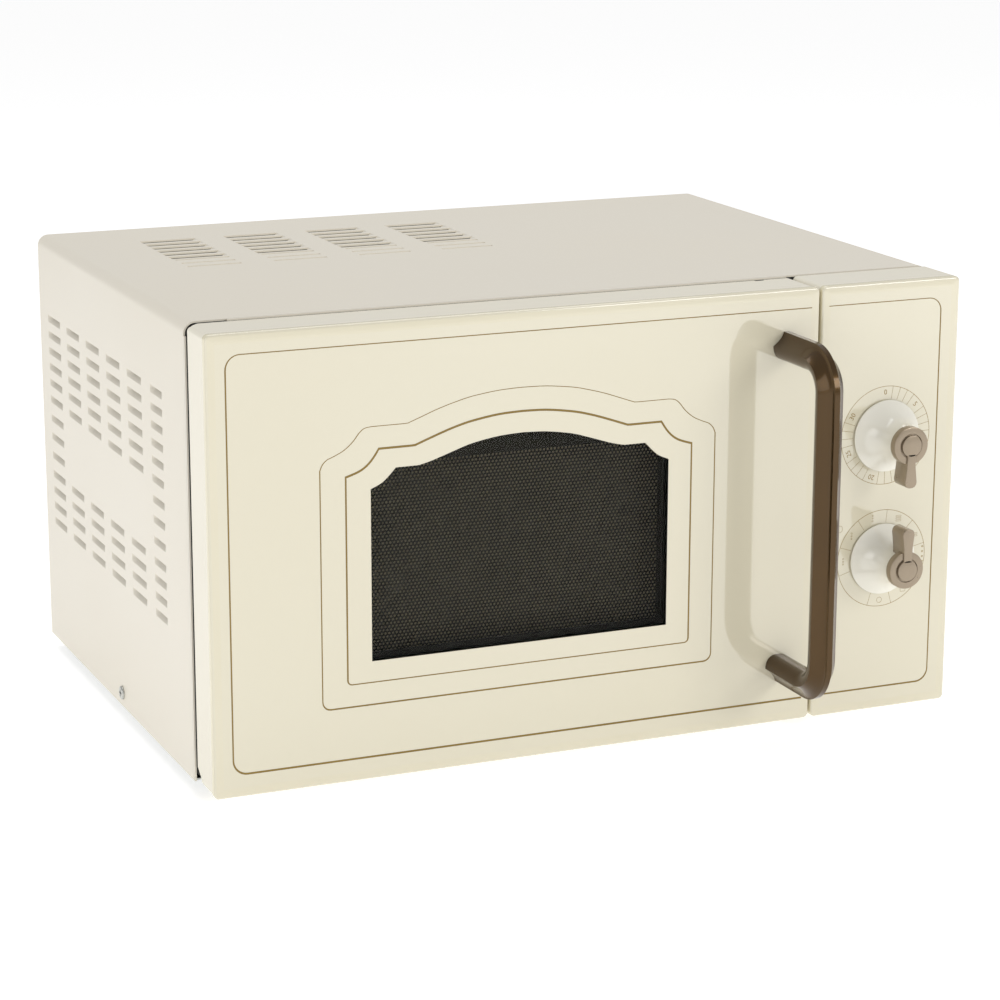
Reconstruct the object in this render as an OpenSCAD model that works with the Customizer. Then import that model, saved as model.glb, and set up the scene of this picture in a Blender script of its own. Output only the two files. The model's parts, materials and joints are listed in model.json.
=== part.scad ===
// Countertop microwave oven with a glass-fronted door, a bow handle and two rotary knobs.
// Shape frame used inside the modules: X from the body's left side, Y back from the glass front,
// Z up from the door's lower edge. in_row() moves that frame to the part's own origin, which is the
// middle of the overall footprint, at the level the feet stand on.

/* [Body] */
// Overall width of the casing
body_w = 452; // [440:1:560]
// Height of the casing without the feet
body_h = 255; // [245:1:320]
// Depth from the glass front to the casing's rear edge
body_d = 337; // [320:1:420]
// Height of the feet
foot_h = 8; // [6:0.5:14]
// Radius of the feet
foot_r = 11; // [8:0.5:14]
// Sheet thickness of the outer cover, base and back
sheet = 1; // [0.8:0.1:1.4]
// Outside bend radius of the cover's upper edges
cover_r = 6.5; // [4:0.5:10]
// Distance from the glass front to the cover's front edge
front_depth = 36.5; // [36.5:0.5:42]

/* [Door and panel] */
// Width of the door
door_w = 361; // [350:1:380]
// Gap between the door and the control panel
door_gap = 1.5; // [1:0.1:3]
// Thickness of the glass plates
glass_t = 4; // [3:0.5:5]
// Wall thickness of the door frame and the panel housing
wall = 3; // [2.5:0.1:3.2]
// Depth of the door from the glass front to its back
door_depth = 34; // [34:0.1:34.4]
// Corner radius of the glass plates
glass_r = 3; // [2:0.5:5]
// Distance of the hinge axis from the door's left edge
hinge_x = 8; // [7.5:0.1:8.2]
// Distance of the hinge axis behind the glass front
hinge_y = 22; // [21.5:0.1:22.5]
// Radius of the hinge pins
hinge_pin_r = 2.4; // [2:0.1:2.8]

/* [Handle] */
// How far the handle's crest stands in front of the glass
handle_reach = 60; // [50:1:72]
// Height of the lower handle leg above the door's lower edge
handle_low = 33.3; // [30:0.1:60]
// Distance between the two handle legs
handle_span = 189; // [140:1:200]
// Half width of the handle's section
handle_half = 8; // [6.5:0.5:9]
// Radius of the handle's bends, at the widest part of the section
handle_bend = 18; // [14:1:22]

/* [Cavity] */
// Border between the door's edges and the cavity's sides
cavity_side = 27; // [26.5:0.5:34]
// Height of the cavity floor above the door's lower edge
cavity_floor = 22; // [21:0.5:26]
// Gap between the cavity and the casing's top
cavity_top_gap = 24.5; // [20:0.5:30]
// Gap between the cavity and the casing's rear edge
cavity_rear_gap = 15.5; // [14:0.5:24]
// Radius of the glass tray
tray_r = 122.5; // [110:0.5:130]
// Radius of the circle the roller wheels run on
roller_track_r = 95; // [85:0.5:100]
// Radius of a roller wheel's allotted height, floor to tray
roller_r = 7; // [6.5:0.1:8]

/* [Controls] */
// Height of the timer knob above the door's lower edge
timer_z = 164.5; // [155:0.5:190]
// Height of the power knob above the door's lower edge
power_z = 91.4; // [70:0.1:95]
// Radius of a knob at the panel
knob_r = 21; // [18:0.5:24]
// Radius of a knob's neck
knob_neck_r = 8.6; // [7:0.1:10]
// Distance from the panel to the knob cap's front face
knob_reach = 29; // [25:0.5:34]
// Radius of the knob's cap
cap_r = 10.9; // [9:0.1:13]
// Radius of the control shafts
shaft_r = 3; // [2.5:0.1:4]
// Distance from the knob's axis to the lever's tip
lever_tip = 24.5; // [20:0.5:28]

/* [Fits] */
// Radial clearance of shafts and pins that turn
run_fit = 0.05; // [0.02:0.01:0.1]
// Clearance between pieces that pass each other
pass_gap = 0.5; // [0.4:0.1:1]

/* [Hidden] */
$fn = 64;
eps = 0.01;
far = 1000;

// Casing
body_z0 = -0.5;
body_z1 = body_z0 + body_h;
glass_front = (handle_reach - body_d) / 2;
tuck = sheet + 0.3;
back_y = body_d - 5;
door_h = body_h - 1;
frame_t = 1;
frame_y = front_depth - frame_t;
louvre_l = 28;
louvre_h = 4.4;
louvre_pitch = 42.9;
louvre_rear = 19;
louvre_rows = [206, 196, 186, 176, 166, 155.5, 143.5, 132, 120, 108, 98, 88, 78];
louvre_middle = [6, 7, 8];
louvre_short = 22;
louvre_short_front = 3.5;
top_vent_l = 35;
top_vent_w = 3;
top_vent_x = 51;
top_vent_pitch = 53;
top_vent_rear = 47.5;
top_vent_row = 11.8;
flange_w = 14;
side_lip = 1.8;
rear_screw_in = 8;
rear_screw_z = 60;
side_screw_y = 175;
side_screw_z = 8;
foot_in = 45;
foot_front = 38;
foot_rear = 32;
foot_peg_r = 3;
screw_r = 1.8;
screw_head_r = 4;
screw_head_t = 1.5;

// Cavity and component bay
knob_shift = 1;
cav_x0 = cavity_side;
cav_x1 = door_w - cavity_side - 1;
cav_z0 = cavity_floor;
cav_z1 = body_z1 - cavity_top_gap;
cav_y1 = body_d - cavity_rear_gap;
bay_x = cav_x1 + sheet;
tray_x = (cav_x0 + cav_x1) / 2;
tray_y = (front_depth + cav_y1) / 2;
panel_x = door_w + door_gap;
knob_x = (panel_x + body_w) / 2 - knob_shift;
tray_z = cav_z0 + 2 * roller_r;
cavity_r = 4;
wheel_w = 6;
axle_r = 1.5;
ring_w = 6;
ring_t = 4;

// Door
window_x0 = 76;
window_x1 = 284;
window_z0 = 52;
window_z1 = door_h - 54;
choke_y = 20;
choke_t = 1;
choke_out = 20;
choke_edge = 26;
choke_step = 36;
choke_back = 31.5;
choke_front = 12;
cover_y = 32;
handle_x = 340;
handle_high = handle_low + handle_span;
handle_mid = handle_reach - handle_half;
arm_x0 = door_w - 17;
arm_x1 = door_w - 7;
hook_x0 = arm_x0 + 3;
hook_x1 = arm_x0 + 7;
hook_h = 8;
hook_barb = 3;
hook_tip_y = 55;
latch_travel = 3.5;
hook_heights = [60, 200];
hinge_arm_t = 2;
hinge_elbow = 14;
hinge_arm_half = 3;
low_arm_z = 6;
high_arm_z = door_h - low_arm_z - hinge_arm_t;

// Controls
knob_gap = 0.8;
lever_thick = 13;
lever_neck = 2.7;
lever_half = 3.8;
cap_t = 5;
disc_r = 6.2;
disc_rise = 1.2;
disc_groove = 0.9;
shaft_in = 38;

// Internal units
switch_y = 58;
guide_y = 158;
magnetron_y = 222;
magnetron_z = 180;
guide_depth = 30;
fan_z = 180;
fan_x = knob_x - 15;
fan_y = body_d - 49;
fan_r = 44;
gland_z = 45;
gland_r = 7;
gland_bore_r = 3.8;
lamp_y = 100;
lamp_z = 196;

// ---- helpers -------------------------------------------------------------------------------

module in_row() { translate([-body_w / 2, glass_front, foot_h - body_z0]) children(); }

// Box between two corners
module block(x0, x1, y0, y1, z0, z1) {
  translate([x0, y0, z0]) cube([x1 - x0, y1 - y0, z1 - z0]);
}

// Extrudes an outline drawn in X and Z from y0 back to y1
module along_y(y0, y1) { translate([0, y1, 0]) rotate([90, 0, 0]) linear_extrude(y1 - y0) children(); }

// Round bar from y0 back to y1
module rod_y(x, z, r, y0, y1) { along_y(y0, y1) translate([x, z]) circle(r); }

// Round bar from x0 to x1
module rod_x(y, z, r, x0, x1) { translate([x0, y, z]) rotate([0, 90, 0]) cylinder(r = r, h = x1 - x0); }

// Upright round bar
module rod_z(x, y, r, z0, z1) { translate([x, y, z0]) cylinder(r = r, h = z1 - z0); }

// Rectangle with round corners
module soft_rect(x0, x1, z0, z1, r) {
  translate([x0 + r, z0]) square([x1 - x0 - 2 * r, z1 - z0]);
  translate([x0, z0 + r]) square([x1 - x0, z1 - z0 - 2 * r]);
  for (x = [x0 + r, x1 - r], z = [z0 + r, z1 - r]) translate([x, z]) circle(r);
}

// Rectangular ring with square corners, border wide
module ring_rect(x0, x1, z0, z1, border) {
  difference() {
    translate([x0, z0]) square([x1 - x0, z1 - z0]);
    translate([x0 + border, z0 + border]) square([x1 - x0 - 2 * border, z1 - z0 - 2 * border]);
  }
}

// Casing outline, square below and round at the two upper edges, pulled in by inset
module casing_outline(inset) {
  r = cover_r - inset;
  x0 = inset;
  x1 = body_w - inset;
  top = body_z1 - inset;
  translate([x0, body_z0]) square([x1 - x0, top - r - body_z0]);
  translate([x0 + r, body_z0]) square([x1 - x0 - 2 * r, top - body_z0]);
  for (x = [x0 + r, x1 - r]) translate([x, top - r]) circle(r);
}

// ---- casing --------------------------------------------------------------------------------

// Louvre field: columns counted from the rear, the middle rows only in the first and last columns,
// and the last column shorter
module side_louvres(x0, x1, columns) {
  last = 5;
  for (c = columns, row = [0:len(louvre_rows) - 1]) {
    y = body_d - louvre_rear - louvre_l - c * louvre_pitch;
    in_middle = len(search(row, louvre_middle)) > 0;
    y0 = c == last ? y + louvre_short_front : y;
    if (!in_middle || c == 0 || c == last)
      block(x0, x1, y0, y0 + (c == last ? louvre_short : louvre_l), louvre_rows[row] - louvre_h / 2,
            louvre_rows[row] + louvre_h / 2);
  }
}

module outer_cover() {
  color("ivory") in_row() difference() {
    union() {
      along_y(front_depth, body_d) difference() {
        casing_outline(0);
        casing_outline(sheet);
        translate([sheet, body_z0 - 1]) square([body_w - 2 * sheet, 4]);
      }
      // lip beside the door's hinge edge
      block(0, sheet, front_depth - side_lip, front_depth + eps, body_z0, body_z1 - cover_r - sheet);
      // rear flange that the back panel screws to
      along_y(back_y + sheet, back_y + 2 * sheet) difference() {
        casing_outline(sheet / 2);
        translate([flange_w, body_z0 - 1]) square([body_w - 2 * flange_w, body_h - flange_w + 1]);
      }
    }
    side_louvres(-1, sheet + 1, [0, 1, 2, 3, 4, 5]);
    side_louvres(body_w - sheet - 1, body_w + 1, [0, 1, 2]);
    for (group = [0:3], row = [0:5]) {
      x = top_vent_x + group * top_vent_pitch;
      y = body_d - top_vent_rear - row * top_vent_row;
      block(x, x + top_vent_l, y - top_vent_w, y, body_z1 - sheet - 1, body_z1 + 1);
    }
    rod_x(side_screw_y, side_screw_z, screw_r + 0.2, -1, body_w + 1);
    for (p = rear_screws()) rod_y(p[0], p[1], screw_r + 0.2, back_y, body_d);
  }
}

// Places of the rear cover screws
function rear_screws() = [for (x = [rear_screw_in, body_w - rear_screw_in], z = [rear_screw_z,
      body_h - rear_screw_z])
                            [x, z], [body_w / 2, body_z1 - rear_screw_in + 1]];

module cover_screws() {
  color("silver") in_row() {
    for (p = rear_screws()) {
      rod_y(p[0], p[1], screw_r, back_y, back_y + 2 * sheet + eps);
      rod_y(p[0], p[1], screw_head_r, back_y + 2 * sheet, back_y + 2 * sheet + screw_head_t);
    }
    rod_x(side_screw_y, side_screw_z, screw_head_r, -screw_head_t, 0);
    rod_x(side_screw_y, side_screw_z, screw_r, -eps, tuck + sheet);
    rod_x(side_screw_y, side_screw_z, screw_head_r, body_w, body_w + screw_head_t);
    rod_x(side_screw_y, side_screw_z, screw_r, body_w - tuck - sheet, body_w + eps);
  }
}

module back_panel() {
  slot = 3.2;
  pitch = 9;
  inlet_half = 34;
  outlet_x = 60;
  outlet_z0 = 150;
  outlet_z1 = 186;
  color("lightgray") in_row() difference() {
    along_y(back_y, back_y + sheet) intersection() {
      casing_outline(tuck);
      translate([0, body_z0 + sheet]) square([body_w, body_h]);
    }
    rod_y(knob_x, gland_z, gland_r + 0.05, back_y - 1, back_y + 2);
    for (p = rear_screws()) rod_y(p[0], p[1], screw_r + 0.05, back_y - 1, back_y + 2);
    // inlet slots in front of the cooling fan
    for (row = [-4:4])
      block(fan_x - inlet_half, fan_x + inlet_half, back_y - 1, back_y + 2, fan_z + row * pitch - slot / 2,
            fan_z + row * pitch + slot / 2);
    // outlet slots behind the cavity
    for (column = [0:8])
      block(outlet_x + column * pitch, outlet_x + column * pitch + slot, back_y - 1, back_y + 2,
            outlet_z0, outlet_z1);
  }
}

module base_plate() {
  tab_y = front_depth + 11;
  tab_z = side_screw_z + 6;
  slot_half = 25;
  slot_y = 120;
  slot = 3;
  pitch = 9;
  color("lightgray") in_row() difference() {
    union() {
      block(tuck, body_w - tuck, front_depth, back_y, body_z0, body_z0 + sheet);
      for (x = [tuck, body_w - tuck - sheet]) block(x, x + sheet, tab_y, back_y, body_z0, tab_z);
    }
    rod_x(side_screw_y, side_screw_z, screw_r + 0.05, 0, body_w);
    for (p = foot_places()) rod_z(p[0], p[1], foot_peg_r + 0.05, body_z0 - 1, body_z0 + 2);
    for (row = [0:5])
      block(knob_x - slot_half, knob_x + slot_half, slot_y + row * pitch, slot_y + row * pitch + slot,
            -1, 2);
  }
}

function foot_places() = [for (x = [foot_in, body_w - foot_in], y = [front_depth + foot_front,
      back_y - foot_rear]) [x, y]];

module feet() {
  taper = 1.5;
  dish_r = foot_r - 5;
  dish = 1.2;
  color("dimgray") in_row() for (p = foot_places()) {
    difference() {
      union() {
        translate([p[0], p[1], body_z0 - foot_h]) cylinder(r1 = foot_r - taper, r2 = foot_r, h = foot_h);
        rod_z(p[0], p[1], foot_peg_r, body_z0 - eps, body_z0 + sheet + 2);
      }
      rod_z(p[0], p[1], dish_r, body_z0 - foot_h - 1, body_z0 - foot_h + dish);
    }
  }
}

module front_frame() {
  lip_r = cover_r - tuck;
  edge = 1.5;
  flange = 10;
  flange_z0 = body_z0 + sheet + 0.2;
  arm_x0 = hinge_x + hinge_elbow;
  color("dimgray") in_row() difference() {
    union() {
      along_y(frame_y, front_depth) soft_rect(edge, body_w - edge, 1, body_z1 - edge, lip_r);
      along_y(front_depth, front_depth + flange) difference() {
        soft_rect(tuck, body_w - tuck, flange_z0, body_z1 - tuck, lip_r);
        soft_rect(tuck + sheet, body_w - tuck - sheet, flange_z0 + sheet, body_z1 - tuck - sheet,
              lip_r - sheet);
      }
    }
    along_y(frame_y - 1, front_depth + 1) soft_rect(cav_x0, cav_x1, cav_z0, cav_z1, cavity_r);
    // opening for the timer and the power selector
    block(panel_x + 6, body_w - 6, frame_y - 1, front_depth + 1, power_z - 30, timer_z + 45);
    for (z = hook_heights)
      block(hook_x0 - 2, hook_x1 + 2, frame_y - 1, front_depth + 1, z - hook_h / 2 - hook_barb - 2,
            z + hook_h / 2 + latch_travel + 1);
    for (z = [low_arm_z, high_arm_z])
      block(arm_x0, arm_x0 + 12, frame_y - 1, front_depth + 1, z - pass_gap, z + hinge_arm_t + pass_gap);
    for (p = hinge_screw_places()) rod_y(p[0], p[1], screw_r + 0.05, frame_y - 1, front_depth + 1);
  }
}

module cavity_liner() {
  hole_pitch = 6;
  hole_half = 1.5;
  mouth_half = 20;
  vent_y = cav_y1 - 90;
  vent_z = cav_z1 - 50;
  color("gainsboro") in_row() difference() {
    along_y(front_depth, cav_y1 + sheet)
      soft_rect(cav_x0 - sheet, cav_x1 + sheet, cav_z0 - sheet, cav_z1 + sheet, cavity_r + sheet);
    along_y(front_depth - 1, cav_y1) soft_rect(cav_x0, cav_x1, cav_z0, cav_z1, cavity_r);
    rod_z(tray_x, tray_y, 6, cav_z0 - 2, cav_z0 + 1);
    // mouth of the waveguide
    block(cav_x1 - 1, cav_x1 + 2, guide_y + 10, guide_y + 10 + 2 * mouth_half, magnetron_z - mouth_half,
          magnetron_z + mouth_half);
    // lamp window and steam vent, as small square perforations
    for (a = [-2:2], b = [-2:2]) {
      y = lamp_y + a * hole_pitch;
      z = lamp_z + b * hole_pitch;
      block(cav_x1 - 1, cav_x1 + 2, y - hole_half, y + hole_half, z - hole_half, z + hole_half);
    }
    for (a = [0:7], b = [0:3]) {
      y = vent_y + a * hole_pitch;
      z = vent_z + b * hole_pitch;
      block(cav_x0 - 2, cav_x0 + 1, y, y + 2 * hole_half, z, z + 2 * hole_half);
    }
  }
}

// ---- control panel -------------------------------------------------------------------------

module panel_housing() {
  color("ivory") in_row() difference() {
    along_y(glass_t, frame_y) soft_rect(panel_x, body_w, 0, door_h, glass_r);
    block(panel_x + wall, body_w - wall, glass_t + wall, far, wall, door_h - wall);
    for (z = [timer_z, power_z]) rod_y(knob_x, z, shaft_r + 1, 0, 20);
  }
}

module panel_glass() {
  color("ivory") in_row() difference() {
    along_y(0, glass_t) soft_rect(panel_x, body_w, 0, door_h, glass_r);
    for (z = [timer_z, power_z]) rod_y(knob_x, z, shaft_r + 1, -1, 20);
  }
}

// ---- door ----------------------------------------------------------------------------------

module door_glass() {
  color("lightyellow", 0.6) in_row() difference() {
    along_y(0, glass_t) soft_rect(0, door_w, 0, door_h, glass_r);
    for (z = [handle_low, handle_high]) rod_y(handle_x, z, screw_r + 1, -1, 20);
  }
}

module door_frame() {
  edge = 0.4;
  boss_h = 12;
  notch_x = 337;
  notch_w = 6;
  color("ivory") in_row() difference() {
    union() {
      difference() {
        along_y(glass_t, door_depth) soft_rect(edge, door_w - edge, edge, door_h - edge, glass_r);
        block(wall, door_w - wall, glass_t + 4, far, wall, door_h - wall);
      }
      // tunnel round the window
      along_y(glass_t + 4 - eps, choke_y) difference() {
        translate([window_x0 - 2, window_z0 - 2])
          square([window_x1 - window_x0 + 4, window_z1 - window_z0 + 4]);
        translate([window_x0, window_z0]) square([window_x1 - window_x0, window_z1 - window_z0]);
      }
      // bosses that the hinge pins turn in
      block(wall - eps, hinge_x + 6, hinge_y - 6, hinge_y + 6, low_arm_z + hinge_arm_t + pass_gap,
            low_arm_z + hinge_arm_t + pass_gap + boss_h);
      block(wall - eps, hinge_x + 6, hinge_y - 6, hinge_y + 6, high_arm_z - pass_gap - boss_h,
            high_arm_z - pass_gap);
      // rib above the latch spring
      block(arm_x0, door_w - wall + eps, 20, 28, 236, 239);
    }
    block(window_x0, window_x1, 0, choke_y, window_z0, window_z1);
    for (z = [handle_low, handle_high]) rod_y(handle_x, z, screw_r + 0.5, 0, 10);
    rod_z(hinge_x, hinge_y, hinge_pin_r + run_fit, low_arm_z, low_arm_z + 30);
    rod_z(hinge_x, hinge_y, hinge_pin_r + run_fit, high_arm_z - 30, high_arm_z + hinge_arm_t);
    // rear edge on the hinge side, cut back so that it clears the front frame as the door turns
    translate([0, door_depth, 0]) rotate([0, 0, 45]) block(-3 * sqrt(2) / 2, 5, -5, 3 * sqrt(2) / 2,
          -1, far);
    // finger notch in the upper rear edge
    block(notch_x, notch_x + notch_w, door_depth - 1.5, far, door_h - 2.5, far);
    // lower rear corner, cut away round the hinge
    translate([-1, 0, 0]) rotate([90, 0, 90]) linear_extrude(11)
      polygon([[door_depth + 1, -1], [door_depth + 1, 12.6], [door_depth, 12], [25, 5], [23.4, 2.4],
            [23, -1]]);
  }
}

// Pressed steel pan with the choke channel folded round its edge
module door_choke() {
  out_x1 = door_w - choke_out - 1;
  edge_x1 = door_w - choke_edge - 1;
  step_x1 = door_w - choke_step - 1;
  out_z = choke_out - 6;
  color("dimgray") in_row() difference() {
    union() {
      along_y(choke_y, choke_y + choke_t) translate([choke_step, choke_step - 2])
        square([step_x1 - choke_step, door_h - 2 * choke_step + 4]);
      along_y(choke_y, choke_back) ring_rect(choke_step, step_x1, choke_step - 2,
            door_h - choke_step + 2, choke_t);
      along_y(choke_back - choke_t, choke_back)
        ring_rect(choke_edge, edge_x1, choke_edge - 6, door_h - choke_edge + 6,
              choke_step - choke_edge + 4 + choke_t);
      along_y(choke_front, choke_back) ring_rect(choke_edge, edge_x1, choke_edge - 6,
            door_h - choke_edge + 6, choke_t);
      along_y(choke_front, choke_front + choke_t)
        ring_rect(choke_out, out_x1, out_z, door_h - out_z, choke_edge - choke_out + choke_t);
      along_y(choke_front, choke_back) ring_rect(choke_out, out_x1, out_z, door_h - out_z, choke_t);
    }
    block(choke_step + choke_t, step_x1 - choke_t, choke_y + choke_t, far, choke_step - 2 + choke_t,
          door_h - choke_step + 2 - choke_t);
    block(window_x0 + 10, window_x1 - 10, 0, far, window_z0 + 14, window_z1 - 16);
  }
}

module door_screen() {
  color("dimgray") in_row()
    block(window_x0 + 8, window_x1 - 8, choke_y + choke_t, choke_y + choke_t + 0.6, window_z0 + 12,
          window_z1 - 14);
}

module door_film() {
  color("lightgray", 0.4) in_row()
    block(window_x0 + 4, window_x1 - 4, choke_y + choke_t + 0.6, choke_y + choke_t + 1.1, window_z0 + 8,
          window_z1 - 10);
}

// Plastic ring that closes the choke channel on the door's inner side
module choke_cover() {
  gap = wall + 0.3;
  in_x0 = choke_step + choke_t + 0.2;
  in_x1 = door_w - choke_step - 1 - choke_t - 0.2;
  in_z0 = choke_step - 2 + choke_t + 0.2;
  in_z1 = door_h - in_z0;
  skirt = 1.4;
  color("gray") in_row() difference() {
    union() {
      along_y(cover_y, door_depth) translate([gap, gap]) square([door_w - 2 * gap, door_h - 2 * gap]);
      along_y(choke_y + choke_t + 1.6, door_depth) translate([in_x0, in_z0]) square([in_x1 - in_x0,
            in_z1 - in_z0]);
    }
    block(in_x0 + skirt, in_x1 - skirt, 0, far, in_z0 + skirt, in_z1 - skirt);
    for (z = hook_heights)
      block(hook_x0 - 1, hook_x1 + 1, 0, far, z - hook_h / 2 - hook_barb - 1,
            z + hook_h / 2 + latch_travel + 1);
    for (z = [low_arm_z, high_arm_z])
      block(0, hinge_x + 26, 0, far, z - 1.2, z + hinge_arm_t + 1.2);
    // corner that leaves room for the hinge at the foot of the door
    block(0, hinge_x + 4, 0, far, 0, 13);
  }
}

// Handle section: a round belly on the door side and two hollow flanks that meet in a narrow crest.
// u runs outwards to the crest, v is across.
crest_half = 1.8;
function flank(t) = [handle_half * t, crest_half + (handle_half - crest_half) * pow(1 - t, 1.7)];
function belly(t) = [-handle_half * sin(90 * t), handle_half * pow(cos(90 * t), 0.7)];
handle_side = concat([for (i = [6:-1:0]) flank(i / 6)], [for (i = [1:7]) belly(i / 8)], [[-handle_half,
      2]]);
handle_section = concat(handle_side, [for (i = [len(handle_side) - 1:-1:0]) [handle_side[i][0],
      -handle_side[i][1]]]);

module door_handle() {
  straight = handle_mid - handle_bend;
  color("#6E5C46") in_row() translate([handle_x, 0, 0]) difference() {
    union() {
      // upright bar, crest to the front
      translate([0, -handle_mid, handle_low + handle_bend]) linear_extrude(handle_span - 2 * handle_bend)
        rotate(-90) polygon(handle_section);
      // legs, crest away from the middle of the bow
      translate([0, 0, handle_high]) rotate([90, 0, 0]) linear_extrude(straight)
        rotate(90) polygon(handle_section);
      translate([0, 0, handle_low]) rotate([90, 0, 0]) linear_extrude(straight)
        rotate(-90) polygon(handle_section);
      // bends
      translate([0, -straight, handle_high - handle_bend]) rotate([0, -90, 0]) rotate([0, 0, -90])
        rotate_extrude(angle = 90, $fn = 48) translate([handle_bend, 0]) polygon(handle_section);
      translate([0, -straight, handle_low + handle_bend]) rotate([0, -90, 0]) rotate([0, 0, 180])
        rotate_extrude(angle = 90, $fn = 48) translate([handle_bend, 0]) polygon(handle_section);
    }
    for (z = [handle_low, handle_high]) rod_y(0, z, screw_r + 0.05, -16, 1);
  }
}

module handle_screws() {
  color("silver") in_row() for (z = [handle_low, handle_high]) {
    rod_y(handle_x, z, screw_r, -14, glass_t + 4 + eps);
    rod_y(handle_x, z, screw_head_r, glass_t + 4, glass_t + 6.5);
  }
}

// Latch arm with two hooks, held down by a spring and free to rise
module latch_hooks() {
  low = hook_heights[0] - 16;
  high = hook_heights[1] + 16;
  color("whitesmoke") in_row() {
    block(arm_x0, arm_x1, 22, 26, low, high);
    rod_z((arm_x0 + arm_x1) / 2, 24, 2, high - eps, high + 5);
    for (z = hook_heights) {
      block(hook_x0, hook_x1, 26 - eps, hook_tip_y, z - hook_h / 2, z + hook_h / 2);
      translate([hook_x0, 0, 0]) rotate([90, 0, 90]) linear_extrude(hook_x1 - hook_x0)
        polygon([[hook_tip_y - 8, z - hook_h / 2 + eps], [hook_tip_y - 8, z - hook_h / 2 - hook_barb],
                 [hook_tip_y - 5, z - hook_h / 2 - hook_barb], [hook_tip_y, z - hook_h / 2 + eps]]);
    }
  }
}

// Compression spring: a round wire swept along a helix
spring_r = 3.8;
spring_wire = 0.45;
spring_z0 = hook_heights[1] + 16;
spring_z1 = 236;
spring_turns = 6;
spring_steps = 20;
function spring_ring(i) = let (a = 360 * i / spring_steps,
      rise = (spring_z1 - spring_z0 - 2 * spring_wire - 0.1))
  [for (k = [0:7]) [(spring_r + spring_wire * cos(45 * k)) * cos(a),
        (spring_r + spring_wire * cos(45 * k)) * sin(a),
                    spring_wire + 0.05 + rise * i / (spring_turns * spring_steps) 
                          + spring_wire * sin(45 * k)]];

module latch_spring() {
  count = spring_turns * spring_steps;
  color("silver") in_row() translate([(arm_x0 + arm_x1) / 2, 24, spring_z0]) polyhedron(
    points = [for (i = [0:count]) each spring_ring(i)],
    faces = concat([[for (k = [0:7]) k]],
                   [for (i = [0:count - 1], k = [0:7]) [i * 8 + k, (i + 1) * 8 + k,
                         (i + 1) * 8 + (k + 1) % 8, i * 8 + (k + 1) % 8]],
                   [[for (k = [7:-1:0]) count * 8 + k]]));
}

// Hinge bracket: a flat crank arm on a flange behind the front frame. The crank lets the door turn
// round its own rear edge.
module hinge_bracket(arm_z, pin_z0, pin_z1, flange_z0, flange_z1) {
  foot_y = front_depth + 1.5;
  reach = foot_y - hinge_y;
  difference() {
    union() {
      translate([hinge_x, hinge_y, arm_z]) linear_extrude(hinge_arm_t) {
        circle(4.5);
        translate([0, -hinge_arm_half]) square([hinge_elbow, 2 * hinge_arm_half]);
        translate([hinge_elbow, 0]) circle(hinge_arm_half);
        polygon([[hinge_elbow - 3, 0], [hinge_elbow + 3, -0.3], [hinge_elbow + 9.4, reach],
              [hinge_elbow + 3.4, reach]]);
      }
      rod_z(hinge_x, hinge_y, hinge_pin_r, pin_z0, pin_z1);
      block(hinge_x + 12, hinge_x + 32, front_depth, foot_y, flange_z0, flange_z1);
    }
    for (p = hinge_screw_places()) rod_y(p[0], p[1], screw_r + 0.05, 0, far);
  }
}

function hinge_screw_places() = [[hinge_x + 27, 14], [hinge_x + 27, door_h - 14]];

module lower_hinge() {
  color("silver") in_row()
    hinge_bracket(low_arm_z, low_arm_z, low_arm_z + hinge_arm_t + 10, 3, 19);
}

module upper_hinge() {
  color("silver") in_row()
    hinge_bracket(high_arm_z, high_arm_z - 10, high_arm_z + hinge_arm_t, door_h - 19, door_h - 3);
}

module hinge_screws() {
  color("silver") in_row() for (p = hinge_screw_places()) {
    rod_y(p[0], p[1], screw_r, frame_y - eps, front_depth + 5);
    rod_y(p[0], p[1], 3, frame_y - 0.9, frame_y);
  }
}

// ---- knobs, timer and selector -------------------------------------------------------------

// Trumpet-shaped knob body, wide at the panel
function trumpet(t) = [knob_neck_r + (knob_r - knob_neck_r) * pow(1 - t, 2.6), (knob_reach - cap_t) * t];

module knob_body(z) {
  length = knob_reach - cap_t;
  color("ivory") in_row() translate([knob_x, 0, z]) rotate([90, 0, 0]) difference() {
    rotate_extrude() polygon(concat([[0, knob_gap]], [[knob_r, knob_gap]],
      [for (i = [1:14]) trumpet(i / 14)], [[0, length]]));
    translate([0, 0, -1]) cylinder(r = shaft_r + 0.02, h = 19);
  }
}

// Bronze cap with a raised keyhole-shaped pointer that runs out into a lever
module knob_cap(z, up) {
  tip_z = lever_tip - lever_half;
  color("#A59683") in_row() translate([knob_x, 0, z]) rotate([90, 0, 0]) {
    difference() {
      translate([0, 0, knob_reach - cap_t]) cylinder(r = cap_r, h = cap_t);
      // groove round the raised disc
      translate([0, 0, knob_reach - disc_groove]) difference() {
        cylinder(r = disc_r + disc_groove, h = 2 * disc_groove);
        translate([0, 0, -1]) cylinder(r = disc_r, h = 4);
      }
    }
    translate([0, 0, knob_reach - eps]) cylinder(r = disc_r, h = disc_rise + eps);
    mirror([0, up ? 0 : 1, 0]) {
      // neck across the cap
      translate([0, 0, knob_reach - disc_groove - eps]) linear_extrude(disc_groove + disc_rise + eps)
        translate([-lever_neck, 0]) square([2 * lever_neck, cap_r]);
      // lever outside the cap, deeper than the cap is thick
      translate([0, 0, knob_reach + disc_rise - lever_thick]) linear_extrude(lever_thick) difference() {
        union() {
          polygon([[-lever_neck, cap_r - 2], [lever_neck, cap_r - 2], [lever_half, tip_z],
                [-lever_half, tip_z]]);
          translate([0, tip_z]) circle(lever_half);
        }
        circle(cap_r - 0.02);
      }
    }
  }
}

module control_shaft(z) { color("silver") in_row() rod_y(knob_x, z, shaft_r, -18, shaft_in); }

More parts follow.
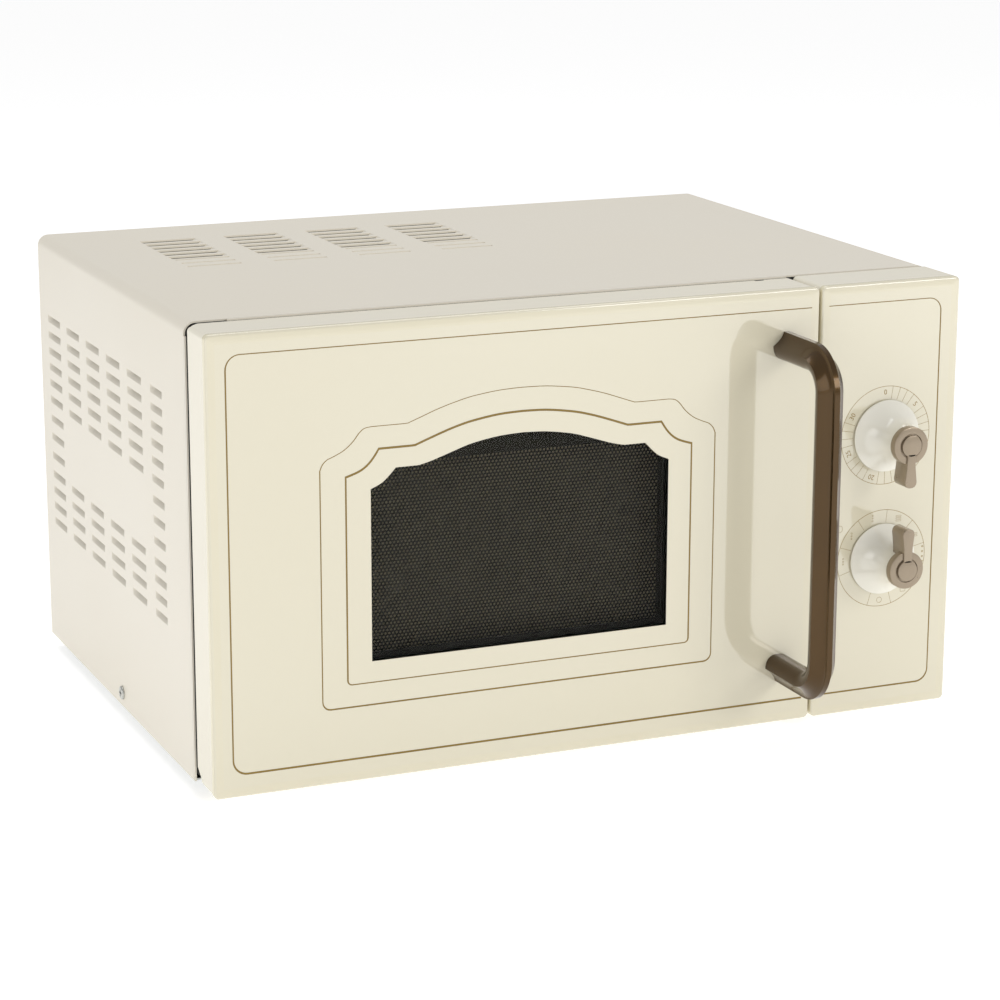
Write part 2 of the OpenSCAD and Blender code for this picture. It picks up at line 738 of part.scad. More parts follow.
module timer_knob() { knob_body(timer_z); }
module timer_knob_cap() { knob_cap(timer_z, false); }
module timer_shaft() { control_shaft(timer_z); }
module power_knob() { knob_body(power_z); }
module power_knob_cap() { knob_cap(power_z, true); }
module selector_shaft() { control_shaft(power_z); }

module timer_unit() {
  front = glass_t + wall;
  color("whitesmoke") in_row() difference() {
    union() {
      block(knob_x - 28, knob_x + 28, front, 34, timer_z - 28, timer_z + 28);
      rod_y(knob_x, timer_z - 8, 22, 34 - eps, 48);
      rod_y(knob_x, timer_z + 22, 2, 34 - eps, 58);
    }
    rod_y(knob_x, timer_z, shaft_r + run_fit, 0, shaft_in + 1);
  }
}

module timer_bell() {
  color("silver") in_row() translate([knob_x, 58, timer_z + 22]) rotate([-90, 0, 0]) rotate_extrude()
    polygon([[0, 0], [6, 0], [13, 2], [18, 6], [18, 12], [17, 12], [17, 6.6], [12.6, 3], [6, 1], [0, 1]]);
}

module power_selector() {
  color("whitesmoke") in_row() difference() {
    union() {
      block(knob_x - 22, knob_x + 22, glass_t + wall, 33, power_z - 22, power_z + 22);
      rod_y(knob_x, power_z, 10, 33 - eps, 42);
      for (a = [-1, 0, 1]) block(knob_x + a * 13 - 3, knob_x + a * 13 + 3, 12, 28, power_z - 28,
            power_z - 22 + eps);
    }
    rod_y(knob_x, power_z, shaft_r + run_fit, 0, shaft_in + 1);
  }
}

// ---- door interlock ------------------------------------------------------------------------

module latch_board() {
  x0 = bay_x + 7;
  x1 = x0 + 17;
  low = hook_heights[0] - 20;
  high = hook_heights[1] + 24;
  color("whitesmoke") in_row() {
    block(x0, x0 + 2, front_depth, 74, low, high);
    block(x1 - 2, x1, front_depth, 74, low, high);
    block(x0 + 2 - eps, x1 - 2 + eps, 72, 74, low, high);
    for (z = hook_heights)
      block(x0 + 2 - eps, x1 - 2 + eps, 40, 46, z - hook_h / 2 - hook_barb - 6,
            z - hook_h / 2 - hook_barb - 1);
  }
}

module interlock_switches() {
  x = (hook_x0 + hook_x1) / 2;
  color("dimgray") in_row() for (z = hook_heights) difference() {
    block(x - 5, x + 5, switch_y, 72, z - 14, z + 14);
    rod_y(x, z, axle_r + run_fit, 0, switch_y + 7);
  }
}

module switch_plungers() {
  x = (hook_x0 + hook_x1) / 2;
  color("firebrick") in_row() for (z = hook_heights) rod_y(x, z, axle_r, hook_tip_y + 0.4, switch_y + 5.5);
}

// ---- microwave source ----------------------------------------------------------------------

module waveguide() {
  x0 = bay_x;
  x1 = bay_x + guide_depth;
  color("silver") in_row() difference() {
    block(x0, x1, guide_y, guide_y + 100, magnetron_z - 34, magnetron_z + 34);
    block(x0 + 1.2, x1 - 1.2, guide_y + 1.2, guide_y + 98.8, magnetron_z - 32.8, magnetron_z + 32.8);
    block(x0 - 1, x0 + 2, guide_y + 10, guide_y + 50, magnetron_z - 20, magnetron_z + 20);
    rod_x(magnetron_y, magnetron_z, 12, x1 - 3, x1 + 1);
  }
}

module mica_cover() {
  color("tan") in_row()
    block(cav_x1 - 0.8, cav_x1, guide_y + 4, guide_y + 56, magnetron_z - 26, magnetron_z + 26);
}

module magnetron() {
  x0 = bay_x + guide_depth;
  color("silver") in_row() {
    rod_x(magnetron_y, magnetron_z, 8, x0 - 20, x0 + eps);
    block(x0, x0 + 2, magnetron_y - 40, magnetron_y + 40, magnetron_z - 36, magnetron_z + 36);
    rod_x(magnetron_y, magnetron_z, 19, x0 + 2 - eps, x0 + 52);
    for (i = [0:7])
      block(x0 + 8 + i * 5, x0 + 9 + i * 5, magnetron_y - 34, magnetron_y + 34, magnetron_z - 32,
            magnetron_z + 32);
    for (y = [magnetron_y - 36, magnetron_y + 34])
      block(x0 + 2 - eps, x0 + 52, y, y + 2, magnetron_z - 34, magnetron_z + 34);
    block(x0 + 52 - eps, x0 + 72, magnetron_y - 36, magnetron_y + 36, magnetron_z - 30, magnetron_z + 30);
  }
}

module transformer_core() {
  x0 = bay_x + 12;
  y0 = 200;
  color("dimgray") in_row() {
    block(x0 - 4, x0 + 96, y0 - 4, y0 + 50, body_z0 + sheet, 3);
    difference() {
      block(x0, x0 + 92, y0, y0 + 46, 3 - eps, 73);
      for (x = [x0 + 16, x0 + 57]) block(x, x + 19, y0 - 1, y0 + 47, 18, 58);
    }
  }
}

module transformer_coils() {
  x0 = bay_x + 12;
  y0 = 200;
  color("#B87333") in_row() difference() {
    block(x0 + 16.5, x0 + 75.5, y0 - 12, y0 + 58, 18.5, 57.5);
    block(x0 + 34.5, x0 + 57.5, y0 - 0.5, y0 + 46.5, 0, 60);
  }
}

module hv_capacitor() {
  x0 = bay_x + 12;
  color("silver") in_row() {
    translate([0, 176, 0]) rotate([90, 0, 0]) linear_extrude(86) soft_rect(x0, x0 + 34,
          body_z0 + sheet + 1, 56, 15);
    for (x = [x0 + 12, x0 + 22]) rod_y(x, 28, 2, 80, 90 + eps);
  }
}

module capacitor_clamp() {
  x0 = bay_x + 12;
  z0 = body_z0 + sheet;
  color("silver") in_row() difference() {
    union() {
      along_y(126, 140) soft_rect(x0 - 1.2, x0 + 35.2, z0, 57.2, 16);
      block(x0 - 1.2, x0 + 50, 126, 140, z0, z0 + 1);
    }
    along_y(125, 141) soft_rect(x0 - 0.1, x0 + 34.1, z0 + 0.9, 56.1, 15.1);
  }
}

module hv_diode() {
  x = bay_x + 74;
  color("dimgray") in_row() {
    rod_y(x, 8, 4, 96, 116);
    rod_y(x, 8, 0.8, 84, 128);
    block(x - 4, x + 4, 128 - eps, 136, body_z0 + sheet, 9);
  }
}

// ---- cooling fan ---------------------------------------------------------------------------

module fan_duct() {
  x0 = bay_x + 6;
  x1 = body_w - tuck - 3;
  collar = 20;
  color("lightgray") in_row() difference() {
    union() {
      block(x0, x1, fan_y, fan_y + 2, fan_z - 52, fan_z + 54);
      rod_y(fan_x, fan_z, fan_r + 5, fan_y, fan_y + collar);
    }
    rod_y(fan_x, fan_z, fan_r + 3, fan_y - 1, fan_y + collar + 1);
  }
}

module fan_motor() {
  x = fan_x;
  y0 = fan_y + 22;
  color("dimgray") in_row() difference() {
    union() {
      block(x - 26, x + 26, y0, y0 + 16, fan_z - 22, fan_z + 22);
      for (z = [fan_z - 3, fan_z + 19]) block(x - 50, x + 50, y0, y0 + 2, z - 22 + 19, z - 16 + 19);
      rod_y(x, fan_z, 8, y0 - 2, y0 + eps);
    }
    rod_y(x, fan_z, 2 + run_fit, y0 - 3, y0 + 12);
  }
}

module fan_blade() {
  pitch = 32;
  blade_w = 18;
  blade_t = 1.2;
  color("gray") in_row() translate([fan_x, fan_y + 3, fan_z]) rotate([-90, 0, 0]) {
    cylinder(r = 11, h = 12);
    cylinder(r = 2, h = 28);
    for (a = [0:4]) rotate(a * 72) translate([10, 0, 6]) rotate([pitch, 0, 0]) translate([0,
          -blade_w / 2, -blade_t / 2])
      cube([fan_r - 12, blade_w, blade_t]);
  }
}

module filter_board() {
  x0 = bay_x + 14;
  color("seagreen") in_row() {
    block(x0, x0 + 90, back_y - 6, back_y - 4.4, 76, 120);
    for (x = [x0 + 5, x0 + 85], z = [80, 116]) rod_y(x, z, 2, back_y - 4.4 - eps, back_y);
    rod_y(x0 + 24, 98, 11, back_y - 22, back_y - 6 + eps);
    block(x0 + 44, x0 + 70, back_y - 18, back_y - 6 + eps, 84, 98);
    block(x0 + 44, x0 + 72, back_y - 12, back_y - 6 + eps, 104, 112);
  }
}

module thermal_cutout() {
  x = cav_x1 - 40;
  z0 = cav_z1 + sheet;
  color("whitesmoke") in_row() {
    rod_z(x, 120, 8, z0, z0 + 8);
    block(x - 14, x + 14, 115, 125, z0, z0 + 1.2);
    for (a = [-4, 4]) block(x + a - 0.4, x + a + 0.4, 117, 123, z0 + 8 - eps, z0 + 14);
  }
}

// ---- turntable -----------------------------------------------------------------------------

module turntable_motor() {
  top = cav_z0 - sheet;
  color("silver") in_row() difference() {
    union() {
      rod_z(tray_x, tray_y, 24.5, top - 15, top);
      block(tray_x - 33, tray_x + 33, tray_y - 5, tray_y + 5, top - 1.2, top);
      block(tray_x - 8, tray_x + 8, tray_y + 20, tray_y + 32, top - 12, top - 3);
    }
    rod_z(tray_x, tray_y, 3.5 + run_fit, top - 10, top + 1);
  }
}

module turntable_coupler() {
  color("whitesmoke") in_row() {
    rod_z(tray_x, tray_y, 3.5, cav_z0 - sheet - 9, cav_z0 + 3);
    rod_z(tray_x, tray_y, 7, cav_z0 + 1, tray_z - 3);
    for (a = [0:2]) translate([tray_x, tray_y, cav_z0 + 4]) rotate(a * 120) translate([0, -2.5, 0])
      cube([12, 5, tray_z - 3 - cav_z0 - 4]);
  }
}

module roller_ring() {
  outer = roller_track_r - wheel_w / 2 - 1;
  z = cav_z0 + roller_r;
  color("whitesmoke") in_row() translate([tray_x, tray_y, 0]) {
    difference() {
      rod_z(0, 0, outer, z - ring_t / 2, z + ring_t / 2);
      rod_z(0, 0, outer - ring_w, z - ring_t, z + ring_t);
    }
    for (a = [0:2]) rotate(90 + a * 120) rod_x(0, z, axle_r, outer - 1, roller_track_r + wheel_w / 2 + 2);
  }
}

module roller_wheel(index) {
  in = roller_track_r - wheel_w / 2;
  z = cav_z0 + roller_r;
  color("whitesmoke") in_row() translate([tray_x, tray_y, 0]) rotate(90 + index * 120) difference() {
    rod_x(0, z, roller_r - 0.1, in, in + wheel_w);
    rod_x(0, z, axle_r + run_fit, in - 1, in + wheel_w + 1);
  }
}

module glass_tray() {
  t = 4;
  rim = 12;
  color("lightcyan", 0.5) in_row() translate([tray_x, tray_y, tray_z]) {
    rotate_extrude($fn = 128) polygon([[0, 0], [tray_r - 14, 0], [tray_r - 8, 1.5], [tray_r - 2,
          rim - 2], [tray_r, rim],
      [tray_r - 1.5, rim + 1], [tray_r - 6, rim - 1.5], [tray_r - 12, t + 1], [tray_r - 17, t], [0, t]]);
    difference() {
      translate([0, 0, -5]) cylinder(r = 18, h = 5 + eps);
      translate([0, 0, -6]) difference() {
        cylinder(r = 14, h = 6);
        for (a = [0:2]) rotate(60 + a * 120) translate([8, -2, -1]) cube([8, 4, 8]);
      }
    }
  }
}

// ---- lamp and cord entry -------------------------------------------------------------------

module cavity_lamp() {
  x = bay_x + 18;
  color("lightyellow") in_row() translate([x, lamp_y, lamp_z]) rotate_extrude()
    polygon(concat([[0, -26], [6.5, -26], [6.5, -14]], [for (a = [-55:10:85]) [11 * cos(a),
          11 * sin(a)]], [[0, 11]]));
}

module lamp_socket() {
  x = bay_x + 18;
  color("whitesmoke") in_row() difference() {
    union() {
      rod_z(x, lamp_y, 9.5, lamp_z - 36, lamp_z - 18);
      block(bay_x, x, lamp_y - 7, lamp_y + 7, lamp_z - 36, lamp_z - 30);
    }
    rod_z(x, lamp_y, 6.55, lamp_z - 26, lamp_z);
  }
}

module cord_gland() {
  color("dimgray") in_row() difference() {
    union() {
      rod_y(knob_x, gland_z, gland_r, back_y - 6, back_y + sheet + eps);
      rod_y(knob_x, gland_z, gland_r + 2.5, back_y + sheet, back_y + sheet + 3);
      rod_y(knob_x, gland_z, gland_r + 1.2, back_y - 6, back_y);
    }
    rod_y(knob_x, gland_z, gland_bore_r, back_y - 7, back_y + sheet + 4);
  }
}

outer_cover();
back_panel();
base_plate();
feet();
cover_screws();
front_frame();
cavity_liner();
panel_housing();
panel_glass();
door_glass();
door_frame();
door_choke();
door_screen();
door_film();
choke_cover();
door_handle();
handle_screws();
latch_hooks();
latch_spring();
upper_hinge();
lower_hinge();
hinge_screws();
timer_knob();
timer_knob_cap();
timer_shaft();
timer_unit();
timer_bell();
power_knob();
power_knob_cap();
selector_shaft();
power_selector();
latch_board();
interlock_switches();
switch_plungers();
waveguide();
mica_cover();
magnetron();
transformer_core();
transformer_coils();
hv_capacitor();
capacitor_clamp();
hv_diode();
fan_duct();
fan_motor();
fan_blade();
filter_board();
thermal_cutout();
turntable_motor();
turntable_coupler();
roller_ring();
roller_wheel(0);  // roller_wheel_1
roller_wheel(1);  // roller_wheel_2
roller_wheel(2);  // roller_wheel_3
glass_tray();
cavity_lamp();
lamp_socket();
cord_gland();
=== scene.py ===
import json
import math
import bmesh
import bpy
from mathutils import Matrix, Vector

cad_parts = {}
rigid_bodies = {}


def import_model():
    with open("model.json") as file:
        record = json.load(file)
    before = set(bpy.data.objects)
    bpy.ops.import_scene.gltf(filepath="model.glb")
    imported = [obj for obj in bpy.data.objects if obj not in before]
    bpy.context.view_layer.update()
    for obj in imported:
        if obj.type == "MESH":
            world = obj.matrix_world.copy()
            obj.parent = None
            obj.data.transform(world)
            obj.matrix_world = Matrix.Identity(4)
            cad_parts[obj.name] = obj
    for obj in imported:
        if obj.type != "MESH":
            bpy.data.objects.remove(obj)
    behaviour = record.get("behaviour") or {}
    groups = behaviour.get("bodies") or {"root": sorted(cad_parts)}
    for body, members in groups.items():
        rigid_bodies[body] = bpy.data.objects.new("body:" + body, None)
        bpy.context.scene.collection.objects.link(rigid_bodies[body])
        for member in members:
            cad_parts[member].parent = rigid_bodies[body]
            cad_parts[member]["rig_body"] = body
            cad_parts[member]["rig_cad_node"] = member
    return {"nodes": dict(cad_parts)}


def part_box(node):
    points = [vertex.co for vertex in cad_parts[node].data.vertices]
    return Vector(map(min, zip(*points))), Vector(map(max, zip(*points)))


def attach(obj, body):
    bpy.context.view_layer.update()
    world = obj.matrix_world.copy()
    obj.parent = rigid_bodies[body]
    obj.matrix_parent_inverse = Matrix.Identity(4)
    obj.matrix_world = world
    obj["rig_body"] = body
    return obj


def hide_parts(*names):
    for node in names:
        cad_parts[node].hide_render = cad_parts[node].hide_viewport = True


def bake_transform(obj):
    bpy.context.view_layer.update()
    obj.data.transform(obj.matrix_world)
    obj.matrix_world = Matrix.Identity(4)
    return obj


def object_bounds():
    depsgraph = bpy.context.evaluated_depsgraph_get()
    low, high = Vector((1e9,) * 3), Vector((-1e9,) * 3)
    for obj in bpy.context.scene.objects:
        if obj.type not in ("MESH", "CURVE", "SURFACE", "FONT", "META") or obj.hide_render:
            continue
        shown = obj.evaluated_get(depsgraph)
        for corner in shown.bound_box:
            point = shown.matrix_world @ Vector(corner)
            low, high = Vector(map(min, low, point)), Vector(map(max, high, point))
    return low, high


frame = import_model()
cad_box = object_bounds()

# ---- Camera, floor and studio light ---------------------------------------------------------
# A long lens from the left front and a little above. A pale light table, three large soft panels and
# an even white surround light the oven as a catalogue shot would.
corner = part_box("door_glass")[0]


def at(x, y, z):
    """A point in millimetres to the right of, behind and above the door's lower left front corner."""
    return corner + Vector((x, y, z)) / 1000


bpy.ops.object.select_all(action="DESELECT")
bpy.ops.object.camera_add(location=at(-452.3, -1447.4, 557.1),
                          rotation=(math.radians(75.5), math.radians(-0.115), math.radians(-23.097)))
camera = bpy.context.object
camera.data.sensor_width = 36
camera.data.lens = 107.5
camera.data.clip_end = 50
bpy.context.scene.camera = camera
bpy.context.scene.view_settings.view_transform = "Standard"

bpy.ops.mesh.primitive_plane_add(size=40, location=(0, 0, cad_box[0].z))
floor = bpy.context.object
floor.name = "studio_floor"
paper = bpy.data.materials.new("floor_paper")
paper.use_nodes = True
shader = paper.node_tree.nodes["Principled BSDF"]
shader.inputs["Base Color"].default_value = (0.93, 0.93, 0.93, 1)
shader.inputs["Roughness"].default_value = 0.9
shader.inputs["Specular IOR Level"].default_value = 0.1
shader.inputs["Emission Color"].default_value = (1, 1, 1, 1)
shader.inputs["Emission Strength"].default_value = 0.48
fibre = paper.node_tree.nodes.new("ShaderNodeTexNoise")
fibre.inputs["Scale"].default_value = 300
bump = paper.node_tree.nodes.new("ShaderNodeBump")
bump.inputs["Strength"].default_value = 0.05
bump.inputs["Distance"].default_value = 0.0002
place = paper.node_tree.nodes.new("ShaderNodeTexCoord")
paper.node_tree.links.new(place.outputs["Object"], fibre.inputs["Vector"])
paper.node_tree.links.new(fibre.outputs["Fac"], bump.inputs["Height"])
paper.node_tree.links.new(bump.outputs["Normal"], shader.inputs["Normal"])
floor.data.materials.append(paper)

world = bpy.data.worlds.new("studio")
world.use_nodes = True
world.node_tree.nodes["Background"].inputs["Color"].default_value = (1, 1, 1, 1)
world.node_tree.nodes["Background"].inputs["Strength"].default_value = 0.52
bpy.context.scene.world = world


def soft_panel(name, spot, target, width, height, power):
    """A rectangular soft light at spot, turned towards target."""
    bpy.ops.object.light_add(type="AREA", location=spot)
    panel = bpy.context.object
    panel.name = name
    panel.rotation_euler = (Vector(target) - Vector(spot)).to_track_quat("-Z", "Y").to_euler()
    panel.data.shape = "RECTANGLE"
    panel.data.size = width
    panel.data.size_y = height
    panel.data.energy = power


soft_panel("left_panel", (-1.7, -1.1, 0.75), (-0.2, -0.1, 0.15), 1.2, 1.1, 6)
soft_panel("front_panel", (1.2, -1.7, 0.9), (0.15, 0, 0.15), 0.9, 0.7, 10)
soft_panel("top_panel", (0.1, 0.5, 1.9), (0, 0, 0.2), 1.6, 1.2, 12)


# ---- Casing: the wrap-round cover -----------------------------------------------------------
# One sheet of 1 mm steel folded over the top and both sides, powder painted cream. Louvres are
# pressed into its sides and vents into its top, and its rear edge is folded in for the screws.
def tint(code):
    """Linear colour with alpha from a six-digit hex code."""
    parts = [int(code[i:i + 2], 16) / 255 for i in (0, 2, 4)]
    return tuple(p / 12.92 if p <= 0.04045 else ((p + 0.055) / 1.055) ** 2.4 for p in parts) + (1,)


# The drift group: a slow change between two colours, a fine grain for the roughness and a height
# for the bump. Every finish places it with its own sizes and amounts.
drift = bpy.data.node_groups.new("drift_and_grain", "ShaderNodeTree")
for title, kind in [("Vector", "NodeSocketVector"), ("Stretch", "NodeSocketVector"),
                    ("Drift scale", "NodeSocketFloat"),
                    ("Grain scale", "NodeSocketFloat"), ("First colour", "NodeSocketColor"),
                    ("Second colour", "NodeSocketColor"), ("Low roughness", "NodeSocketFloat"),
                    ("High roughness", "NodeSocketFloat"), ("Grain share", "NodeSocketFloat")]:
    drift.interface.new_socket(title, in_out="INPUT", socket_type=kind)
for title, kind in [("Colour", "NodeSocketColor"), ("Roughness", "NodeSocketFloat"),
                    ("Height", "NodeSocketFloat")]:
    drift.interface.new_socket(title, in_out="OUTPUT", socket_type=kind)
way_in = drift.nodes.new("NodeGroupInput")
way_out = drift.nodes.new("NodeGroupOutput")
pull = drift.nodes.new("ShaderNodeVectorMath")
pull.operation = "MULTIPLY"
slow = drift.nodes.new("ShaderNodeTexNoise")
fine = drift.nodes.new("ShaderNodeTexNoise")
fine.inputs["Detail"].default_value = 3
blend = drift.nodes.new("ShaderNodeMix")
blend.data_type = "FLOAT"
shades = drift.nodes.new("ShaderNodeMix")
shades.data_type = "RGBA"
rough = drift.nodes.new("ShaderNodeMapRange")
rough.inputs["From Min"].default_value = 0.3
rough.inputs["From Max"].default_value = 0.7
for start, end in [
        (way_in.outputs["Vector"], pull.inputs[0]), (way_in.outputs["Stretch"], pull.inputs[1]),
        (pull.outputs["Vector"], slow.inputs["Vector"]), (pull.outputs["Vector"], fine.inputs["Vector"]),
        (way_in.outputs["Drift scale"], slow.inputs["Scale"]),
        (way_in.outputs["Grain scale"], fine.inputs["Scale"]),
        (slow.outputs["Fac"], blend.inputs[2]), (fine.outputs["Fac"], blend.inputs[3]),
        (way_in.outputs["Grain share"], blend.inputs[0]), (blend.outputs[0], shades.inputs[0]),
        (way_in.outputs["First colour"], shades.inputs[6]),
        (way_in.outputs["Second colour"], shades.inputs[7]),
        (blend.outputs[0], rough.inputs["Value"]), (way_in.outputs["Low roughness"], rough.inputs["To Min"]),
        (way_in.outputs["High roughness"], rough.inputs["To Max"]),
        (shades.outputs[2], way_out.inputs["Colour"]),
        (rough.outputs["Result"], way_out.inputs["Roughness"]),
        (fine.outputs["Fac"], way_out.inputs["Height"])]:
    drift.links.new(start, end)


def finish(name, first, second, low, high, drift_scale=9, grain_scale=900, grain_share=0.35,
           stretch=(1, 1, 1),
           relief=0.15, depth=0.0001, metallic=0.0, coat=0.0, **settings):
    """A material with the drift group for its colour, roughness and relief, and plain values for the rest."""
    made = bpy.data.materials.new(name)
    made.use_nodes = True
    tree = made.node_tree
    bsdf = tree.nodes["Principled BSDF"]
    where = tree.nodes.new("ShaderNodeTexCoord")
    cover = tree.nodes.new("ShaderNodeGroup")
    cover.node_tree = drift
    cover.name = "drift"
    for title, value in [("Stretch", stretch), ("Drift scale", drift_scale), ("Grain scale", grain_scale),
                         ("First colour", tint(first)), ("Second colour", tint(second)),
                         ("Low roughness", low),
                         ("High roughness", high), ("Grain share", grain_share)]:
        cover.inputs[title].default_value = value
    press = tree.nodes.new("ShaderNodeBump")
    press.name = "relief"
    press.inputs["Strength"].default_value = relief
    press.inputs["Distance"].default_value = depth
    tree.links.new(where.outputs["Object"], cover.inputs["Vector"])
    tree.links.new(cover.outputs["Colour"], bsdf.inputs["Base Color"])
    tree.links.new(cover.outputs["Roughness"], bsdf.inputs["Roughness"])
    tree.links.new(cover.outputs["Height"], press.inputs["Height"])
    tree.links.new(press.outputs["Normal"], bsdf.inputs["Normal"])
    bsdf.inputs["Metallic"].default_value = metallic
    bsdf.inputs["Coat Weight"].default_value = coat
    for title, value in settings.items():
        bsdf.inputs[title.replace("_", " ").title().replace("Ior", "IOR")].default_value = value
    return made


cream_paint = finish("cream_powder_paint", "E9E3D6", "E3DCCC", 0.34, 0.46, drift_scale=5, grain_scale=1500,
                     grain_share=0.5, relief=0.22, depth=0.00012)


def only(*pieces):
    """Selects just these pieces and makes the first one active."""
    bpy.ops.object.select_all(action="DESELECT")
    for piece in pieces:
        piece.select_set(True)
    if pieces:
        bpy.context.view_layer.objects.active = pieces[0]


def apply_place():
    """Puts the selected pieces' place, turn and scale into their meshes."""
    bpy.ops.object.transform_apply(location=True, rotation=True, scale=True)


def set_mode(mode):
    """Enters or leaves edit mode."""
    bpy.ops.object.mode_set(mode=mode)


def pick_all():
    """Selects all of the mesh being edited."""
    bpy.ops.mesh.select_all(action="SELECT")


def wire(name, points):
    """A chain of edges through the points, drawn by extruding one vertex. It is left in edit mode."""
    only()
    bpy.ops.mesh.primitive_plane_add(size=0.01, location=points[0])
    piece = bpy.context.object
    piece.name = piece.data.name = name
    set_mode("EDIT")
    bpy.ops.mesh.select_mode(type="VERT")
    bpy.ops.mesh.merge(type="CENTER")
    for here, there in zip(points, points[1:]):
        bpy.ops.mesh.extrude_region_move(TRANSFORM_OT_translate={"value": there - here})
    return piece


def outline_face(name, points):
    """A flat face inside the closed outline, in edit mode and selected."""
    piece = wire(name, points + points[:1])
    pick_all()
    bpy.ops.mesh.remove_doubles(threshold=1e-6)
    bpy.ops.mesh.edge_face_add()
    return piece


def push(x=0.0, y=0.0, z=0.0):
    """Extrudes what is selected by millimetres."""
    bpy.ops.mesh.extrude_region_move(TRANSFORM_OT_translate={"value": (x / 1000, y / 1000, z / 1000)})


def smooth_by(angle):
    """Smooths the active piece, apart from edges sharper than the angle in degrees."""
    bpy.ops.object.shade_smooth_by_angle(angle=math.radians(angle))


def settle(piece, smooth=None):
    """Turns the faces outwards, leaves edit mode and puts the place into the mesh."""
    pick_all()
    bpy.ops.mesh.normals_make_consistent(inside=False)
    set_mode("OBJECT")
    apply_place()
    if smooth:
        smooth_by(smooth)
    return piece


def slab(name, outline, y0, y1):
    """A plate with the outline, given across and up, from y0 back to y1."""
    piece = outline_face(name, [at(x, y0, z) for x, z in outline])
    push(y=y1 - y0)
    return settle(piece)


def block(name, x0, x1, y0, y1, z0, z1):
    """A box between two corners."""
    only()
    bpy.ops.mesh.primitive_cube_add(size=1, location=(at(x0, y0, z0) + at(x1, y1, z1)) / 2,
                                    scale=((x1 - x0) / 1000, (y1 - y0) / 1000, (z1 - z0) / 1000))
    piece = bpy.context.object
    piece.name = piece.data.name = name
    apply_place()
    return piece


def pick(piece, kind, test):
    """Selects the faces, edges or vertices whose middle passes the test, which reads millimetres."""
    bpy.ops.mesh.select_all(action="DESELECT")
    bpy.ops.mesh.select_mode(type=kind)
    mesh = bmesh.from_edit_mesh(piece.data)
    turn = piece.matrix_world
    items = {"FACE": mesh.faces, "EDGE": mesh.edges, "VERT": mesh.verts}[kind]
    for item in items:
        middle = item.calc_center_median() if kind == "FACE" else item.co if kind == "VERT" else (
            item.verts[0].co + item.verts[1].co) / 2
        point = (turn @ middle - corner) * 1000
        item.select_set(test(point, item))
    mesh.select_flush_mode()
    bmesh.update_edit_mesh(piece.data)


def refine(piece, kind, **settings):
    """Adds a modifier and applies it."""
    only(piece)
    modifier = piece.modifiers.new(kind.lower(), kind)
    for title, value in settings.items():
        setattr(modifier, title, value)
    bpy.ops.object.modifier_apply(modifier=modifier.name)
    return piece


def join(pieces, name):
    """Joins pieces into the first one."""
    only(*pieces)
    bpy.ops.object.join()
    pieces[0].name = pieces[0].data.name = name
    return pieces[0]


def copies(piece, steps):
    """Copies a piece to each step, given in millimetres, every copy with its own mesh."""
    made = []
    for x, y, z in steps:
        only(piece)
        bpy.ops.object.duplicate_move(TRANSFORM_OT_translate={"value": (x / 1000, y / 1000, z / 1000)})
        apply_place()
        made.append(bpy.context.object)
    return made


def belongs(piece, body, material, slot, *nodes):
    """Gives a piece its finish and its body, and hides the frame nodes it stands for. The slot is not used.
    A piece that stretches between two bodies is given no body here."""
    piece.data.materials.clear()
    piece.data.materials.append(material)
    if body:
        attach(piece, body)
    if nodes:
        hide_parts(*nodes)
    return piece


def box_mm(node):
    """A frame part's box, in millimetres from the door's corner."""
    return [(p - corner) * 1000 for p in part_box(node)]


low, high = box_mm("outer_cover")
bend = 6.5
sheet = 1.0
front_edge = 36.5
cover = block("cover_shell", low.x, high.x, front_edge, high.y, low.z, high.z)
set_mode("EDIT")
pick(cover, "EDGE", lambda p, e: p.z > high.z - 1 and abs(p.y - (low.y + high.y) / 2) < 1)
bpy.ops.mesh.bevel(offset=bend / 1000, segments=8)
pick(cover, "FACE", lambda p, f: f.normal.z < -0.9 or abs(f.normal.y) > 0.9)
bpy.ops.mesh.delete(type="FACE")
settle(cover)
refine(cover, "SOLIDIFY", thickness=sheet / 1000, offset=-1)

# Louvres: a slot with a tongue pressed in from its lower edge, in columns counted from the rear.
louvre_rows = [206, 196, 186, 176, 166, 155.5, 143.5, 132, 120, 108, 98, 88, 78]
louvre_rear, louvre_pitch, louvre_tall = 19, 42.9, 4.4
short_column, short_back = 5, 2.5


def louvre_spots(columns):
    """Rear end and lower edge of each louvre: only the first and last columns have the middle rows."""
    return [(high.y - louvre_rear - c * louvre_pitch - (short_back if c == short_column else 0), z)
            for c in columns for row, z in enumerate(louvre_rows)
            if c in (0, short_column) or row not in (6, 7, 8)]


def cut(piece, cutters):
    """Cuts joined cutters out of a piece."""
    tool = join(cutters, "cutter")
    refine(piece, "BOOLEAN", operation="DIFFERENCE", object=tool, solver="EXACT")
    bpy.data.objects.remove(tool)


def pressed_tongue(name, long, tall, deep, lift):
    """A tongue lying across X and Y, pressed down along its far edge and flush along the other three."""
    only()
    bpy.ops.mesh.primitive_grid_add(x_subdivisions=8, y_subdivisions=4, size=1, location=(0, 0, 0))
    piece = bpy.context.object
    piece.name = piece.data.name = name
    for v in piece.data.vertices:
        along, across = v.co.x + 0.5, v.co.y + 0.5
        end = min(along, 1 - along) * long
        fall = math.sin(min(1, end / lift) * math.pi / 2) * math.sin(across * math.pi / 2) ** 1.4
        v.co = ((v.co.x * long) / 1000, (v.co.y * tall) / 1000, -deep * fall / 1000)
    refine(piece, "SOLIDIFY", thickness=0.0006, offset=-1)
    smooth_by(60)
    return piece


